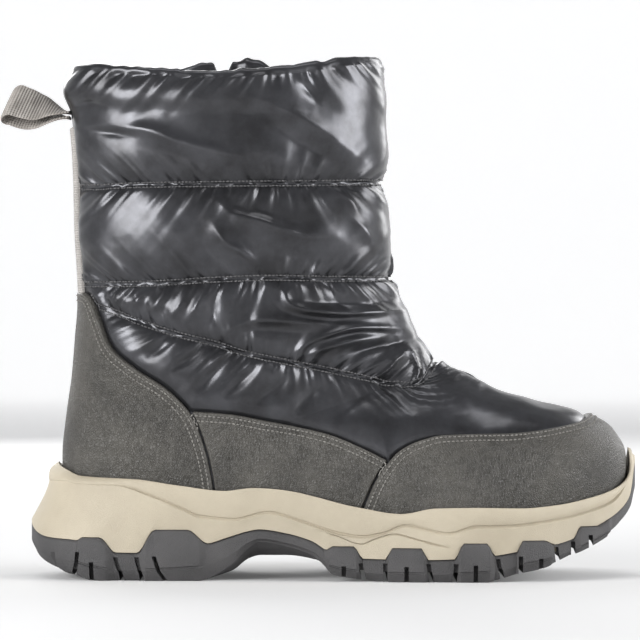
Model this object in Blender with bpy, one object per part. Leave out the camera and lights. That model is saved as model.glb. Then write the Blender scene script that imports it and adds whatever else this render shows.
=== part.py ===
"""Quilted winter boot for a right foot, standing empty on its sole.

+X points to the toe, +Y to the inner side of the foot and +Z up. The origin is on the floor below the
middle of the heel. Every curved piece is worked out from two surfaces: the outline of the sole, and the
skin of the upper, which is lofted through the sections in SHAFT and FOOT.
"""
import math
from collections import namedtuple

import bmesh
import bpy
import numpy as np
from mathutils import Vector
from mathutils.bvhtree import BVHTree

for old in list(bpy.data.objects):
    bpy.data.objects.remove(old, do_unlink=True)

# Driving sizes of the sole, in metres
SOLE_LENGTH = 0.280
SOLE_WIDTH = 0.108
SOLE_HEIGHT = 0.056
HEEL_REACH = 0.050
LIP = 0.0035
LUG_PROUD = 0.0014
LUG_TAPER = 0.0018
TREAD_INSET = 0.014
SLOT_WIDTH = 0.0022
TREAD_DEPTH = 0.0045
TRAY_SHARE = 0.55
BEVEL_SHARE = 0.42
RIM_WALL = 0.0016
RIM_ROLL = 0.0006
STEP = 0.0008

# Driving sizes of the upper
BOOT_HEIGHT = 0.236
SHAFT_WIDTH = 0.088
UPPER_WIDTH = 0.096
INSTEP_HEIGHT = 0.075
BED_HEIGHT = 0.036
HEEL_SETBACK = 0.017
TOE_SETBACK = 0.007
WALL = 0.004
LEATHER = 0.0018
PANEL = 0.0012
STRIP_WIDTH = 0.025
STRIP = 0.0014
INSOLE = 0.004
INSOLE_INSET = 0.006

# Pull loop of webbing
LOOP_LENGTH = 0.029
LOOP_WIDTH = 0.020
WEBBING = 0.0014

# Zip on the inner side
ZIP_ALONG = 0.275
ZIP_DROP = 0.023
ZIP_FOOT = 0.092
TAPE_WIDTH = 0.016
TAPE = 0.0008
CHAIN_WIDTH = 0.006
CHAIN = 0.0018
SLIDER = (0.0085, 0.0036, 0.011)
TAB = (0.0056, 0.0012, 0.024)
NOTCH_WIDTH = 0.008
NOTCH_DEPTH = 0.012

# Bridge on the slider, seen from the side, and the eye of the pull tab that hangs on it
BRIDGE_WIDTH = 0.0018
BRIDGE_HIGH = 0.0034
BRIDGE_BAR = 0.0011
BRIDGE_OUT = 0.0038
BRIDGE_IN = 0.0026
BRIDGE_SLOPE = 0.0006
BRIDGE_SUNK = 0.0005
TAB_EYE = 0.0044
TAB_BAR = 0.0011
TAB_RIM = 0.0013

# Running gap between neighbouring pieces, and how far a cutter reaches past what it cuts
GAP = 0.0003
REACH = 0.010

SOLE_BACK = -HEEL_REACH
UPPER_BACK = SOLE_BACK + HEEL_SETBACK
UPPER_LENGTH = SOLE_LENGTH - HEEL_SETBACK - TOE_SETBACK
ZIP_X = UPPER_BACK + ZIP_ALONG * UPPER_LENGTH
ZIP_TOP = BOOT_HEIGHT - ZIP_DROP
CUP = GAP + LEATHER + GAP

# Plan of foot and sole, as shares of length and width; centre leans towards the inner side
Plan = namedtuple("Plan", "along centre foot sole")
PLAN = [
    Plan(0.00, 0.000, 0.000, 0.000),
    Plan(0.02, 0.000, 0.170, 0.190),
    Plan(0.06, 0.000, 0.270, 0.300),
    Plan(0.12, 0.000, 0.330, 0.362),
    Plan(0.20, 0.000, 0.355, 0.390),
    Plan(0.30, 0.000, 0.352, 0.387),
    Plan(0.42, -0.005, 0.352, 0.388),
    Plan(0.55, -0.012, 0.415, 0.432),
    Plan(0.68, -0.004, 0.490, 0.494),
    Plan(0.74, 0.004, 0.498, 0.500),
    Plan(0.82, 0.018, 0.478, 0.482),
    Plan(0.90, 0.038, 0.400, 0.407),
    Plan(0.95, 0.052, 0.305, 0.312),
    Plan(0.98, 0.062, 0.197, 0.203),
    Plan(1.00, 0.068, 0.000, 0.000),
]

# Underside of the upper above the floor, as a share of BED_HEIGHT
Bed = namedtuple("Bed", "along height")
BED = [
    Bed(0.000, 1.000),
    Bed(0.066, 0.927),
    Bed(0.165, 0.876),
    Bed(0.292, 0.798),
    Bed(0.437, 0.683),
    Bed(0.600, 0.618),
    Bed(0.727, 0.618),
    Bed(0.836, 0.695),
    Bed(0.912, 0.811),
    Bed(0.959, 0.927),
    Bed(0.984, 1.017),
    Bed(1.000, 1.107),
]

# Sections round the leg, from the collar to the heel's corner. along is a share of the upper's length;
# front_rise goes from the instep to the collar, back_rise from the bed to the collar, half is a share of
# SHAFT_WIDTH, widest is how far the widest place lies from front to back
Shaft = namedtuple("Shaft", "name front_along front_rise back_along back_rise "
                            "half widest front_power back_power")
SHAFT = [
    Shaft("collar", 0.558, 1.000, 0.004, 0.986, 0.500, 0.52, 2.15, 2.15),
    Shaft("collar roll", 0.563, 0.892, -0.009, 0.940, 0.520, 0.52, 2.20, 2.20),
    Shaft("loop seam", 0.565, 0.832, 0.006, 0.884, 0.504, 0.52, 2.20, 2.20),
    Shaft("upper puff", 0.567, 0.718, 0.012, 0.806, 0.512, 0.52, 2.20, 2.20),
    Shaft("first quilting seam", 0.567, 0.608, 0.015, 0.729, 0.492, 0.52, 2.20, 2.20),
    Shaft("middle puff", 0.572, 0.450, 0.017, 0.621, 0.506, 0.52, 2.20, 2.20),
    Shaft("second quilting seam", 0.581, 0.293, 0.022, 0.513, 0.476, 0.53, 2.20, 2.20),
    Shaft("ankle", 0.595, 0.211, 0.024, 0.448, 0.474, 0.54, 2.15, 2.20),
    Shaft("counter top", 0.611, 0.141, 0.020, 0.379, 0.462, 0.56, 2.10, 2.30),
    Shaft("heel upper", 0.631, 0.078, 0.014, 0.285, 0.454, 0.58, 2.05, 2.30),
    Shaft("heel middle", 0.649, 0.037, 0.004, 0.191, 0.448, 0.60, 2.00, 2.25),
    Shaft("heel low", 0.665, 0.014, -0.003, 0.097, 0.446, 0.62, 2.00, 2.20),
    Shaft("heel corner", 0.680, -0.003, 0.000, 0.000, 0.446, 0.64, 2.00, 2.12),
]

# Sections over the foot. front_rise is a share of INSTEP_HEIGHT, half is a share of UPPER_WIDTH, and
# each section ends on the bed at back_along, where PLAN gives its width
Foot = namedtuple("Foot", "name front_along front_rise back_along half widest front_power back_power")
FOOT = [
    Foot("seat", 0.692, 0.970, 0.057, 0.410, 0.66, 2.00, 2.30),
    Foot("seat front", 0.705, 0.952, 0.138, 0.414, 0.68, 2.00, 2.45),
    Foot("waist back", 0.720, 0.927, 0.238, 0.420, 0.70, 2.00, 2.60),
    Foot("waist", 0.738, 0.893, 0.350, 0.430, 0.71, 2.00, 2.60),
    Foot("instep", 0.761, 0.847, 0.464, 0.448, 0.72, 2.00, 2.60),
    Foot("ball back", 0.790, 0.800, 0.573, 0.474, 0.72, 2.05, 2.60),
    Foot("ball", 0.823, 0.758, 0.673, 0.502, 0.72, 2.10, 2.60),
    Foot("vamp", 0.857, 0.707, 0.758, 0.508, 0.72, 2.15, 2.60),
    Foot("vamp front", 0.893, 0.650, 0.836, 0.488, 0.72, 2.20, 2.60),
    Foot("toe back", 0.926, 0.592, 0.893, 0.440, 0.72, 2.25, 2.50),
    Foot("toe top", 0.951, 0.522, 0.935, 0.375, 0.70, 2.30, 2.40),
    Foot("toe cap", 0.973, 0.445, 0.964, 0.305, 0.68, 2.30, 2.30),
    Foot("toe turn", 0.989, 0.344, 0.983, 0.235, 0.64, 2.30, 2.20),
    Foot("toe face", 1.000, 0.241, 0.994, 0.165, 0.60, 2.20, 2.10),
    Foot("toe low", 1.003, 0.136, 0.999, 0.090, 0.55, 2.10, 2.00),
    Foot("tip", 1.000, 0.000, 1.000, 0.000, 0.50, 2.00, 2.00),
]

# Side of the sole, as shares of its length and of SOLE_HEIGHT: base is where the outsole meets the
# midsole, edge the outsole's lower edge, core its tread further in, lip the share of LIP
Side = namedtuple("Side", "along base edge core lip")
SIDE = [
    Side(0.000, 0.464, 0.250, 0.054, 1.00),
    Side(0.030, 0.339, 0.116, 0.027, 1.00),
    Side(0.080, 0.320, 0.045, 0.005, 1.00),
    Side(0.110, 0.280, 0.000, 0.000, 1.00),
    Side(0.145, 0.225, 0.000, 0.000, 1.00),
    Side(0.180, 0.223, 0.000, 0.000, 1.00),
    Side(0.280, 0.277, 0.000, 0.000, 1.00),
    Side(0.333, 0.357, 0.125, 0.070, 1.00),
    Side(0.360, 0.398, 0.260, 0.170, 1.00),
    Side(0.379, 0.413, 0.311, 0.196, 1.00),
    Side(0.420, 0.384, 0.277, 0.196, 1.00),
    Side(0.463, 0.321, 0.205, 0.160, 1.00),
    Side(0.500, 0.214, 0.050, 0.050, 1.00),
    Side(0.550, 0.182, 0.015, 0.015, 1.00),
    Side(0.584, 0.178, 0.000, 0.000, 1.00),
    Side(0.650, 0.177, 0.000, 0.000, 1.00),
    Side(0.740, 0.200, 0.000, 0.000, 1.00),
    Side(0.767, 0.217, 0.022, 0.018, 1.00),
    Side(0.800, 0.246, 0.071, 0.054, 1.00),
    Side(0.834, 0.273, 0.104, 0.089, 1.00),
    Side(0.862, 0.300, 0.152, 0.132, 1.00),
    Side(0.890, 0.345, 0.214, 0.187, 1.00),
    Side(0.914, 0.405, 0.268, 0.232, 0.95),
    Side(0.943, 0.475, 0.345, 0.280, 0.85),
    Side(0.967, 0.550, 0.420, 0.315, 0.75),
    Side(0.987, 0.668, 0.523, 0.345, 0.65),
    Side(0.996, 0.890, 0.590, 0.355, 0.60),
    Side(1.000, 0.979, 0.625, 0.360, 0.57),
]

# Main lugs that climb the midsole; top is a share of SOLE_HEIGHT
Lug = namedtuple("Lug", "start rise_end fall_start end top")
LUGS = [
    Lug(0.081, 0.091, 0.118, 0.146, 0.345),
    Lug(0.180, 0.210, 0.262, 0.300, 0.410),
    Lug(0.483, 0.497, 0.531, 0.546, 0.280),
    Lug(0.582, 0.593, 0.640, 0.651, 0.270),
    Lug(0.693, 0.708, 0.745, 0.759, 0.310),
    Lug(0.794, 0.803, 0.838, 0.860, 0.330),
    Lug(0.887, 0.899, 0.930, 0.955, 0.435),
]
MORE_STATIONS = [0.0, 0.012, 0.030, 0.055, 0.333, 0.360, 0.385, 0.420, 0.455, 0.976, 0.988, 0.996, 1.0]

# Slots between the lugs; lean is how far the top lies behind the foot, as a share of length
Slot = namedtuple("Slot", "along top lean")
SLOTS = [
    Slot(0.047, 0.220, 0.006),
    Slot(0.075, 0.230, -0.008),
    Slot(0.161, 0.190, 0.016),
    Slot(0.192, 0.190, 0.012),
    Slot(0.552, 0.150, 0.010),
    Slot(0.582, 0.150, 0.000),
    Slot(0.659, 0.150, 0.008),
    Slot(0.692, 0.150, -0.004),
    Slot(0.775, 0.190, 0.012),
    Slot(0.800, 0.210, 0.000),
    Slot(0.868, 0.280, 0.010),
    Slot(0.890, 0.320, 0.004),
    Slot(0.921, 0.370, 0.006),
]

# Upper edge of the midsole, as a share of SOLE_HEIGHT along the upper
Rim = namedtuple("Rim", "along height")
RIM = [
    Rim(0.000, 0.990),
    Rim(0.017, 0.873),
    Rim(0.040, 0.834),
    Rim(0.133, 0.820),
    Rim(0.207, 0.770),
    Rim(0.287, 0.729),
    Rim(0.337, 0.753),
    Rim(0.374, 0.745),
    Rim(0.448, 0.689),
    Rim(0.529, 0.599),
    Rim(0.603, 0.548),
    Rim(0.662, 0.594),
    Rim(0.732, 0.599),
    Rim(0.807, 0.594),
    Rim(0.862, 0.616),
    Rim(0.917, 0.666),
    Rim(0.954, 0.717),
    Rim(0.977, 0.778),
    Rim(0.989, 0.850),
    Rim(0.996, 0.985),
    Rim(1.000, 1.055),
]

# Moulded step that runs round the midsole, as a share of SOLE_HEIGHT along the sole
Line = namedtuple("Line", "along height")
LINE = [
    Line(0.000, 0.786),
    Line(0.108, 0.800),
    Line(0.149, 0.737),
    Line(0.190, 0.666),
    Line(0.233, 0.588),
    Line(0.267, 0.530),
    Line(0.325, 0.505),
    Line(0.379, 0.563),
    Line(0.436, 0.497),
    Line(0.510, 0.390),
    Line(0.541, 0.370),
    Line(0.575, 0.400),
    Line(0.612, 0.464),
    Line(0.683, 0.400),
    Line(0.727, 0.455),
    Line(0.781, 0.460),
    Line(0.866, 0.513),
    Line(0.916, 0.574),
    Line(0.950, 0.632),
    Line(0.970, 0.704),
    Line(0.992, 0.880),
    Line(1.000, 1.010),
]

# Edges of the leather pieces in side view: along is a share of the upper's length, rise goes from the
# bed to the collar
Edge = namedtuple("Edge", "along rise")
COUNTER_EDGE = [
    Edge(-0.040, 0.486),
    Edge(0.020, 0.481),
    Edge(0.042, 0.471),
    Edge(0.062, 0.423),
    Edge(0.084, 0.360),
    Edge(0.129, 0.313),
    Edge(0.187, 0.269),
    Edge(0.231, 0.210),
    Edge(0.260, 0.104),
    Edge(0.272, 0.010),
]
PANEL_EDGE = [
    Edge(0.292, 0.226),
    Edge(0.365, 0.218),
    Edge(0.419, 0.211),
    Edge(0.473, 0.199),
    Edge(0.528, 0.176),
]
PANEL_BACK_TOP = 0.208
PANEL_FRONT_TOP = 0.145
PANEL_INSET = 0.004
CAP_EDGE = [
    Edge(0.520, 0.010),
    Edge(0.533, 0.050),
    Edge(0.553, 0.106),
    Edge(0.573, 0.142),
    Edge(0.596, 0.171),
    Edge(0.631, 0.191),
    Edge(0.674, 0.202),
    Edge(0.792, 0.200),
    Edge(0.903, 0.198),
    Edge(0.937, 0.207),
    Edge(0.950, 0.250),
]

# Pull loop: reach away from the boot, rise, half its open height and turn of the webbing in degrees
Bend = namedtuple("Bend", "reach rise open turn")
BENDS = [
    Bend(0.00, 0.00, 0.040, 0),
    Bend(0.12, 0.01, 0.042, 6),
    Bend(0.27, 0.03, 0.060, 18),
    Bend(0.50, 0.05, 0.090, 40),
    Bend(0.72, 0.11, 0.120, 48),
    Bend(0.88, 0.17, 0.120, 50),
]
LOOP_ROOT_RISE = 0.885

# How finely the curved pieces are built, and how far the leather stays above the feather edge
COLUMNS = 11
MIDDLE_RINGS = 5
INSOLE_STATIONS = [0.0, 0.012, 0.04, 0.09, 0.165, 0.292, 0.437, 0.52, 0.60, 0.727, 0.80, 0.836, 0.88, 0.912,
                   0.945, 0.968, 0.984, 0.995, 1.0]
EDGE_LIFT = 0.0012
PAST_END = 0.05


def smooth(xs, ys, x):
    """Values at x of a smooth curve through the points (xs, ys) that never overshoots them."""
    xs = np.asarray(xs, float)
    ys = np.asarray(ys, float)
    x = np.clip(x, xs[0], xs[-1])
    width = np.diff(xs)
    slope = np.diff(ys) / width
    before, after = slope[:-1], slope[1:]
    same_way = before * after > 0
    middle = np.where(same_way, 2 * before * after / np.where(same_way, before + after, 1), 0)
    tangent = np.concatenate(([slope[0]], middle, [slope[-1]]))
    i = np.clip(np.searchsorted(xs, x, side="right") - 1, 0, len(width) - 1)
    t = (x - xs[i]) / width[i]
    start = ys[i] * (1 + 2 * t) * (1 - t) ** 2 + tangent[i] * width[i] * t * (1 - t) ** 2
    end = ys[i + 1] * t * t * (3 - 2 * t) - tangent[i + 1] * width[i] * t * t * (1 - t)
    return start + end


def column(table, name):
    """One named column of a table."""
    return np.array([getattr(row, name) for row in table], float)


def turn_of(along):
    """Angle round a plan outline, from 0 at the heel to 1 at the toe, for a share of its length."""
    return np.arccos(1 - 2 * np.clip(along, 0, 1)) / math.pi


def lookup(table, name, along):
    """A table's column at a share of the length, fine near heel and toe."""
    return smooth(turn_of(column(table, "along")), column(table, name), turn_of(along))


def plan_point(angle, length, width, back, name, outset):
    """Point of a plan outline at an angle round it, moved outwards by outset."""
    def at(a):
        along = (1 - math.cos(a)) / 2
        side = -1 if 0 <= a % (2 * math.pi) <= math.pi else 1
        y = width * (lookup(PLAN, "centre", along) + side * lookup(PLAN, name, along))
        return np.array([back + length * along, float(y)])
    step = 0.01
    tangent = at(angle + step) - at(angle - step)
    normal = np.array([tangent[1], -tangent[0]]) / np.linalg.norm(tangent)
    return at(angle) + outset * normal, normal


def sole_point(angle, outset):
    """Point of the sole's outline."""
    return plan_point(angle, SOLE_LENGTH, SOLE_WIDTH, SOLE_BACK, "sole", outset)[0]


def bed_height(along):
    """Underside of the upper above the floor."""
    return BED_HEIGHT * smooth(column(BED, "along"), column(BED, "height"), along)


def upper_place(along, rise):
    """Side view place of a share of the upper's length and of the height from bed to collar."""
    low = float(bed_height(along))
    return UPPER_BACK + UPPER_LENGTH * along, low + rise * (BOOT_HEIGHT - low)


def section_rows():
    """Every section as front point, back point, half width, widest place, powers and width at the back."""
    rows = []
    for s in SHAFT:
        low = float(bed_height(s.front_along)) + INSTEP_HEIGHT
        front = (UPPER_BACK + UPPER_LENGTH * s.front_along, low + s.front_rise * (BOOT_HEIGHT - low))
        back = upper_place(s.back_along, s.back_rise)
        rows.append([*front, *back, s.half * SHAFT_WIDTH, s.widest, s.front_power, s.back_power, 0])
    for f in FOOT:
        low = float(bed_height(f.front_along))
        front = (UPPER_BACK + UPPER_LENGTH * f.front_along, low + f.front_rise * INSTEP_HEIGHT)
        back = upper_place(f.back_along, 0)
        foot = float(lookup(PLAN, "foot", f.back_along)) * UPPER_WIDTH
        rows.append([*front, *back, f.half * UPPER_WIDTH, f.widest, f.front_power, f.back_power, foot])
    return np.array(rows)


SECTIONS = section_rows()
CORNER = len(SHAFT) - 1


def section_curve(row):
    """One section's half at a place between rows, from the front to the back, and the run to each point."""
    index = np.arange(len(SECTIONS))
    values = [float(smooth(index, SECTIONS[:, i], row)) for i in range(SECTIONS.shape[1])]
    front_x, front_z, back_x, back_z, half, widest, front_power, back_power, foot = values
    if row > CORNER:
        along = (back_x - UPPER_BACK) / UPPER_LENGTH
        back_z = float(bed_height(along))
        foot = float(lookup(PLAN, "foot", along)) * UPPER_WIDTH
        half = max(half, foot * 1.02)
    angle = np.linspace(0, math.pi / 2, 60)
    front_part = widest * (1 - np.cos(angle))
    back_part = widest + (1 - widest) * np.sin(angle[1:])
    t = np.concatenate((front_part, back_part))
    near = np.clip((widest - t) / widest, 0, 1)
    far = np.clip((t - widest) / (1 - widest), 0, 1)
    closing = 1 - (foot / half) ** back_power if half > 0 else 1
    y = half * np.where(t < widest,
                        (1 - near ** front_power) ** (1 / front_power),
                        np.maximum(1 - closing * far ** back_power, 0) ** (1 / back_power))
    points = np.stack((front_x + (back_x - front_x) * t, y, front_z + (back_z - front_z) * t), axis=1)
    run = np.concatenate(([0], np.cumsum(np.linalg.norm(np.diff(points, axis=0), axis=1))))
    return points, run


CORNER_RUN = section_curve(CORNER)[1][-1]


def section(row):
    """Spaced points of one section's half. Past the heel's corner the spacing stays that of the corner's
    section and ends early, then evens out over the next four sections."""
    points, run = section_curve(row)
    share = np.linspace(0, 1, COLUMNS + 1)
    fixed = min(max(1 - (row - CORNER - 1) / 4, 0), 1) if row > CORNER else 0
    spaced = fixed * np.minimum(share * CORNER_RUN, run[-1]) + (1 - fixed) * share * run[-1]
    if fixed > 0:
        spaced[spaced > run[-1] - 0.45 * CORNER_RUN / COLUMNS] = run[-1]
    return np.stack([np.interp(spaced, run, points[:, i]) for i in range(3)], axis=1)


def ring(row):
    """A whole section, from the outer side's back round the front to the inner side's back."""
    half = section(row)
    outer = half[::-1] * np.array([1, -1, 1])
    whole = np.concatenate((outer, half[1:]))
    along = (whole[:, 0] - UPPER_BACK) / UPPER_LENGTH
    whole[:, 1] += UPPER_WIDTH * lookup(PLAN, "centre", along)
    if row <= CORNER:
        whole[0] = whole[-1] = (whole[0] + whole[-1]) / 2
    return whole


def ring_rows():
    """Places of the rings: each section, some round the heel's corner and some between those of the foot."""
    rows = list(range(len(SECTIONS)))
    rows += [CORNER + share for share in (0.3, 0.65)]
    rows += [CORNER + i + 1.5 for i in range(MIDDLE_RINGS)]
    return sorted(rows)


ROWS = ring_rows()
RINGS = np.array([ring(row) for row in ROWS])


def add_quad(mesh, a, b, c, d):
    """Two triangles split from a to c, so that neighbouring pieces get parallel facets."""
    for corners in ((a, b, c), (a, c, d)):
        if len(set(corners)) == 3:
            mesh.faces.new(corners)


def add_grid(mesh, points, inwards=False):
    """Add a grid of rings to a mesh, with equal points made one; returns its corners by ring."""
    found = {}

    def corner(point):
        key = tuple(round(float(value), 7) + 0.0 for value in point)
        if key not in found:
            found[key] = mesh.verts.new(point)
        return found[key]

    grid = [[corner(point) for point in one] for one in points]
    for high, low in zip(grid, grid[1:]):
        for a, b, c, d in zip(high, high[1:], low[1:], low):
            for corners in ((a, d, c), (a, c, b)):
                if len(set(corners)) == 3:
                    mesh.faces.new(corners[::-1] if inwards else corners)
    return grid


def ring_normals():
    """Outward direction at each corner of RINGS, level along the lower edge."""
    mesh = bmesh.new()
    grid = add_grid(mesh, RINGS)
    mesh.normal_update()
    normals = np.array([[vert.normal[:] for vert in one] for one in grid])
    for i in range(ROWS.index(CORNER), len(ROWS)):
        for j, vert in enumerate(grid[i]):
            if vert in (grid[i][0], grid[i][-1]):
                normals[i, j, 2] = 0
                normals[i, j] /= np.linalg.norm(normals[i, j])
    normals[-1] = (1, 0, 0)
    mesh.free()
    return normals


NORMALS = ring_normals()


def surface_point(start, direction):
    """Where a line from outside first meets the upper's surface."""
    mesh, _ = skin(0)
    tree = BVHTree.FromBMesh(mesh)
    hit = tree.ray_cast(Vector(start), Vector(direction))[0]
    mesh.free()
    return hit


def skin(outset):
    """The upper's surface moved outwards, as an open mesh and its corners by ring."""
    mesh = bmesh.new()
    grid = add_grid(mesh, RINGS + outset * NORMALS)
    return mesh, grid


def material(name, color, roughness, metallic=0.0):
    """A plain finish."""
    finish = bpy.data.materials.new(name)
    finish.use_nodes = True
    shader = finish.node_tree.nodes["Principled BSDF"]
    shader.inputs["Base Color"].default_value = (*color, 1)
    shader.inputs["Roughness"].default_value = roughness
    shader.inputs["Metallic"].default_value = metallic
    finish.diffuse_color = (*color, 1)
    return finish


NYLON = material("nylon", (0.060, 0.062, 0.068), 0.30)
LEATHER_GREY = material("leather", (0.115, 0.110, 0.100), 0.60)
FOAM = material("foam", (0.640, 0.570, 0.450), 0.60)
RUBBER = material("rubber", (0.100, 0.100, 0.108), 0.65)
WEB = material("webbing", (0.280, 0.255, 0.230), 0.85)
FELT = material("felt", (0.030, 0.030, 0.032), 0.90)
COIL = material("coil", (0.050, 0.050, 0.054), 0.50)
METAL = material("metal", (0.160, 0.160, 0.170), 0.35, 1.0)


def new_collection(name):
    """A collection linked to the scene."""
    group = bpy.data.collections.new(name)
    bpy.context.scene.collection.children.link(group)
    return group


BOOT = new_collection("winter_boot")
CUTTERS = new_collection("cutters")


def add_object(name, mesh, finish, group=None):
    """An object made from a bmesh, which is freed."""
    data = bpy.data.meshes.new(name)
    mesh.to_mesh(data)
    mesh.free()
    piece = bpy.data.objects.new(name, data)
    (group or BOOT).objects.link(piece)
    if finish:
        data.materials.append(finish)
    return piece


def add_cutter(name, mesh):
    """A closed shape that only cuts others."""
    bmesh.ops.recalc_face_normals(mesh, faces=mesh.faces)
    cutter = add_object(name, mesh, None, CUTTERS)
    cutter.hide_render = True
    cutter.display_type = "WIRE"
    return cutter


def add_cut(piece, cutter, operation="DIFFERENCE"):
    """Cut a piece by another, or keep what they share."""
    cut = piece.modifiers.new(cutter.name, "BOOLEAN")
    cut.operation = operation
    cut.solver = "EXACT"
    cut.object = cutter


def shade_smooth(piece, degrees=35):
    """Round pieces are shaded smooth, with their edges kept."""
    piece.data.shade_smooth()
    piece.data.set_sharp_from_angle(angle=math.radians(degrees))


def prism(near_points, far_points):
    """Closed prism between two outlines with the same number of corners."""
    mesh = bmesh.new()
    add_prism(mesh, near_points, far_points)
    return mesh


def add_prism(mesh, near_points, far_points):
    """Add a prism to a mesh."""
    near = [mesh.verts.new(point) for point in near_points]
    far = [mesh.verts.new(point) for point in far_points]
    mesh.faces.new(near)
    mesh.faces.new(far[::-1])
    for i in range(len(near)):
        j = (i + 1) % len(near)
        mesh.faces.new((near[j], near[i], far[i], far[j]))


def side_prism(outline, y_low, y_high):
    """Closed prism of a side view outline, from one side of the boot to the other."""
    return prism([(x, y_low, z) for x, z in outline], [(x, y_high, z) for x, z in outline])


def box_mesh(low, high):
    """Closed box between two corners."""
    mesh = bmesh.new()
    bmesh.ops.create_cube(mesh, size=1)
    for vert in mesh.verts:
        for i in range(3):
            vert.co[i] = low[i] if vert.co[i] < 0 else high[i]
    return mesh


def ladder(mesh, one):
    """Close a ring that runs round a plan outline with rungs from side to side."""
    count = len(one)
    for i in range(count // 2):
        add_quad(mesh, one[-i % count], one[i], one[i + 1], one[(count - i - 1) % count])


def stations():
    """Angles round the sole: heel, outer side, toe, inner side."""
    alongs = set(MORE_STATIONS)
    for lug in LUGS:
        alongs.update((lug.start, lug.rise_end, lug.fall_start, lug.end))
    half = [math.pi * float(turn_of(along)) for along in sorted(alongs)]
    return half + [2 * math.pi - angle for angle in half[-2:0:-1]]


ANGLES = stations()


def side_height(name, angle):
    """Height of one of the sole's edges."""
    return SOLE_HEIGHT * float(lookup(SIDE, name, (1 - math.cos(angle)) / 2))


def lug_share(lug, angle):
    """How much of a lug's full height stands at an angle round the sole."""
    along = (1 - math.cos(angle)) / 2
    return float(np.interp(along, [lug.start, lug.rise_end, lug.fall_start, lug.end], [0, 1, 1, 0]))


def joint_height(angle):
    """Where outsole and midsole meet, lugs included."""
    base = side_height("base", angle)
    tops = [lug_share(lug, angle) * max(lug.top * SOLE_HEIGHT - base, 0) for lug in LUGS]
    return base + max(tops)


def lug_outset(angle):
    """How far the lugs stand out of the outsole's side."""
    return LUG_PROUD * max(lug_share(lug, angle) for lug in LUGS)


def lip_width(angle):
    """Width of the outsole's upper lip."""
    return LIP * float(lookup(SIDE, "lip", (1 - math.cos(angle)) / 2))


def tray_height(angle):
    """Floor of the tray that the midsole sits in."""
    low = max(side_height("edge", angle), side_height("core", angle))
    return low + TRAY_SHARE * (side_height("base", angle) - low)


def loft(rings):
    """Closed mesh through rings round the sole, each a list of points, closed at both ends."""
    mesh = bmesh.new()
    rows = [[mesh.verts.new(point) for point in one] for one in rings]
    count = len(rows[0])
    for low, high in zip(rows, rows[1:]):
        for i in range(count):
            j = (i + 1) % count
            add_quad(mesh, low[i], low[j], high[j], high[i])
    ladder(mesh, rows[0])
    ladder(mesh, rows[-1])
    bmesh.ops.recalc_face_normals(mesh, faces=mesh.faces)
    return mesh


def outline_ring(outset, height):
    """Ring round the sole; outset and height are functions of the angle."""
    return [(*sole_point(angle, outset(angle)), height(angle)) for angle in ANGLES]


def outsole():
    """Rubber tray with a lugged side, a slotted tread and an arch."""
    def bevel_height(angle):
        edge = side_height("edge", angle)
        return edge + BEVEL_SHARE * (side_height("base", angle) - edge)

    rings = [
        outline_ring(lambda a: -TREAD_INSET, lambda a: side_height("core", a)),
        outline_ring(lambda a: lug_outset(a) - LUG_TAPER, lambda a: side_height("edge", a)),
        outline_ring(lug_outset, bevel_height),
        outline_ring(lambda a: 0.5 * lug_outset(a), joint_height),
        outline_ring(lambda a: -lip_width(a), joint_height),
        outline_ring(lambda a: -lip_width(a), tray_height),
    ]
    piece = add_object("outsole", loft(rings), RUBBER)
    add_cut(piece, add_cutter("tread_slots", slot_mesh()))
    return piece


def slot_mesh():
    """Slots across the tread, deeper in from each side."""
    mesh = bmesh.new()
    for slot in SLOTS:
        angle = math.pi * float(turn_of(slot.along))
        outer = float(sole_point(angle, 0)[1])
        inner = float(sole_point(2 * math.pi - angle, 0)[1])
        x = SOLE_BACK + SOLE_LENGTH * slot.along
        floor = side_height("core", angle)
        top = slot.top * SOLE_HEIGHT
        lean = slot.lean * SOLE_LENGTH
        stops = [outer - REACH, outer + TREAD_INSET, inner - TREAD_INSET, inner + REACH]
        deep = floor + TREAD_DEPTH
        outline = [
            (stops[0], -REACH), (stops[3], -REACH), (stops[3], top), (stops[2], top),
            (stops[2], deep), (stops[1], deep), (stops[1], top), (stops[0], top),
        ]
        back = [(x - lean * max(z, 0) / top - SLOT_WIDTH / 2, y, z) for y, z in outline]
        add_prism(mesh, back, [(slant + SLOT_WIDTH, y, z) for slant, y, z in back])
    return mesh


def foot_form(outset):
    """Closed form of the dressed upper, which the midsole is hollowed for."""
    mesh, grid = skin(outset)
    for row, one in zip(ROWS, grid):
        if row >= CORNER:
            one[0].co.z -= GAP
            if one[-1] is not one[0]:
                one[-1].co.z -= GAP
    collar = grid[0][:-1]
    mesh.faces.new(collar)
    feet = [one for row, one in zip(ROWS, grid) if row >= CORNER]
    for one, two in zip(feet, feet[1:]):
        add_quad(mesh, one[0], two[0], two[-1], one[-1])
    bmesh.ops.recalc_face_normals(mesh, faces=mesh.faces)
    return mesh


def rim_ring():
    """Upper edge of the midsole, a wall's thickness outside the dressed upper."""
    form = foot_form(CUP)
    tree = BVHTree.FromBMesh(form)
    points = []
    for angle in ANGLES:
        along = (1 - math.cos(angle)) / 2
        height = SOLE_HEIGHT * float(lookup(RIM, "height", along))
        start, normal = plan_point(angle, UPPER_LENGTH, UPPER_WIDTH, UPPER_BACK, "foot", -REACH)
        hit = tree.ray_cast(Vector((*start, height)), Vector((*normal, 0)))[0]
        points.append((hit.x + RIM_WALL * normal[0], hit.y + RIM_WALL * normal[1], height))
    form.free()
    return points


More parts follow.
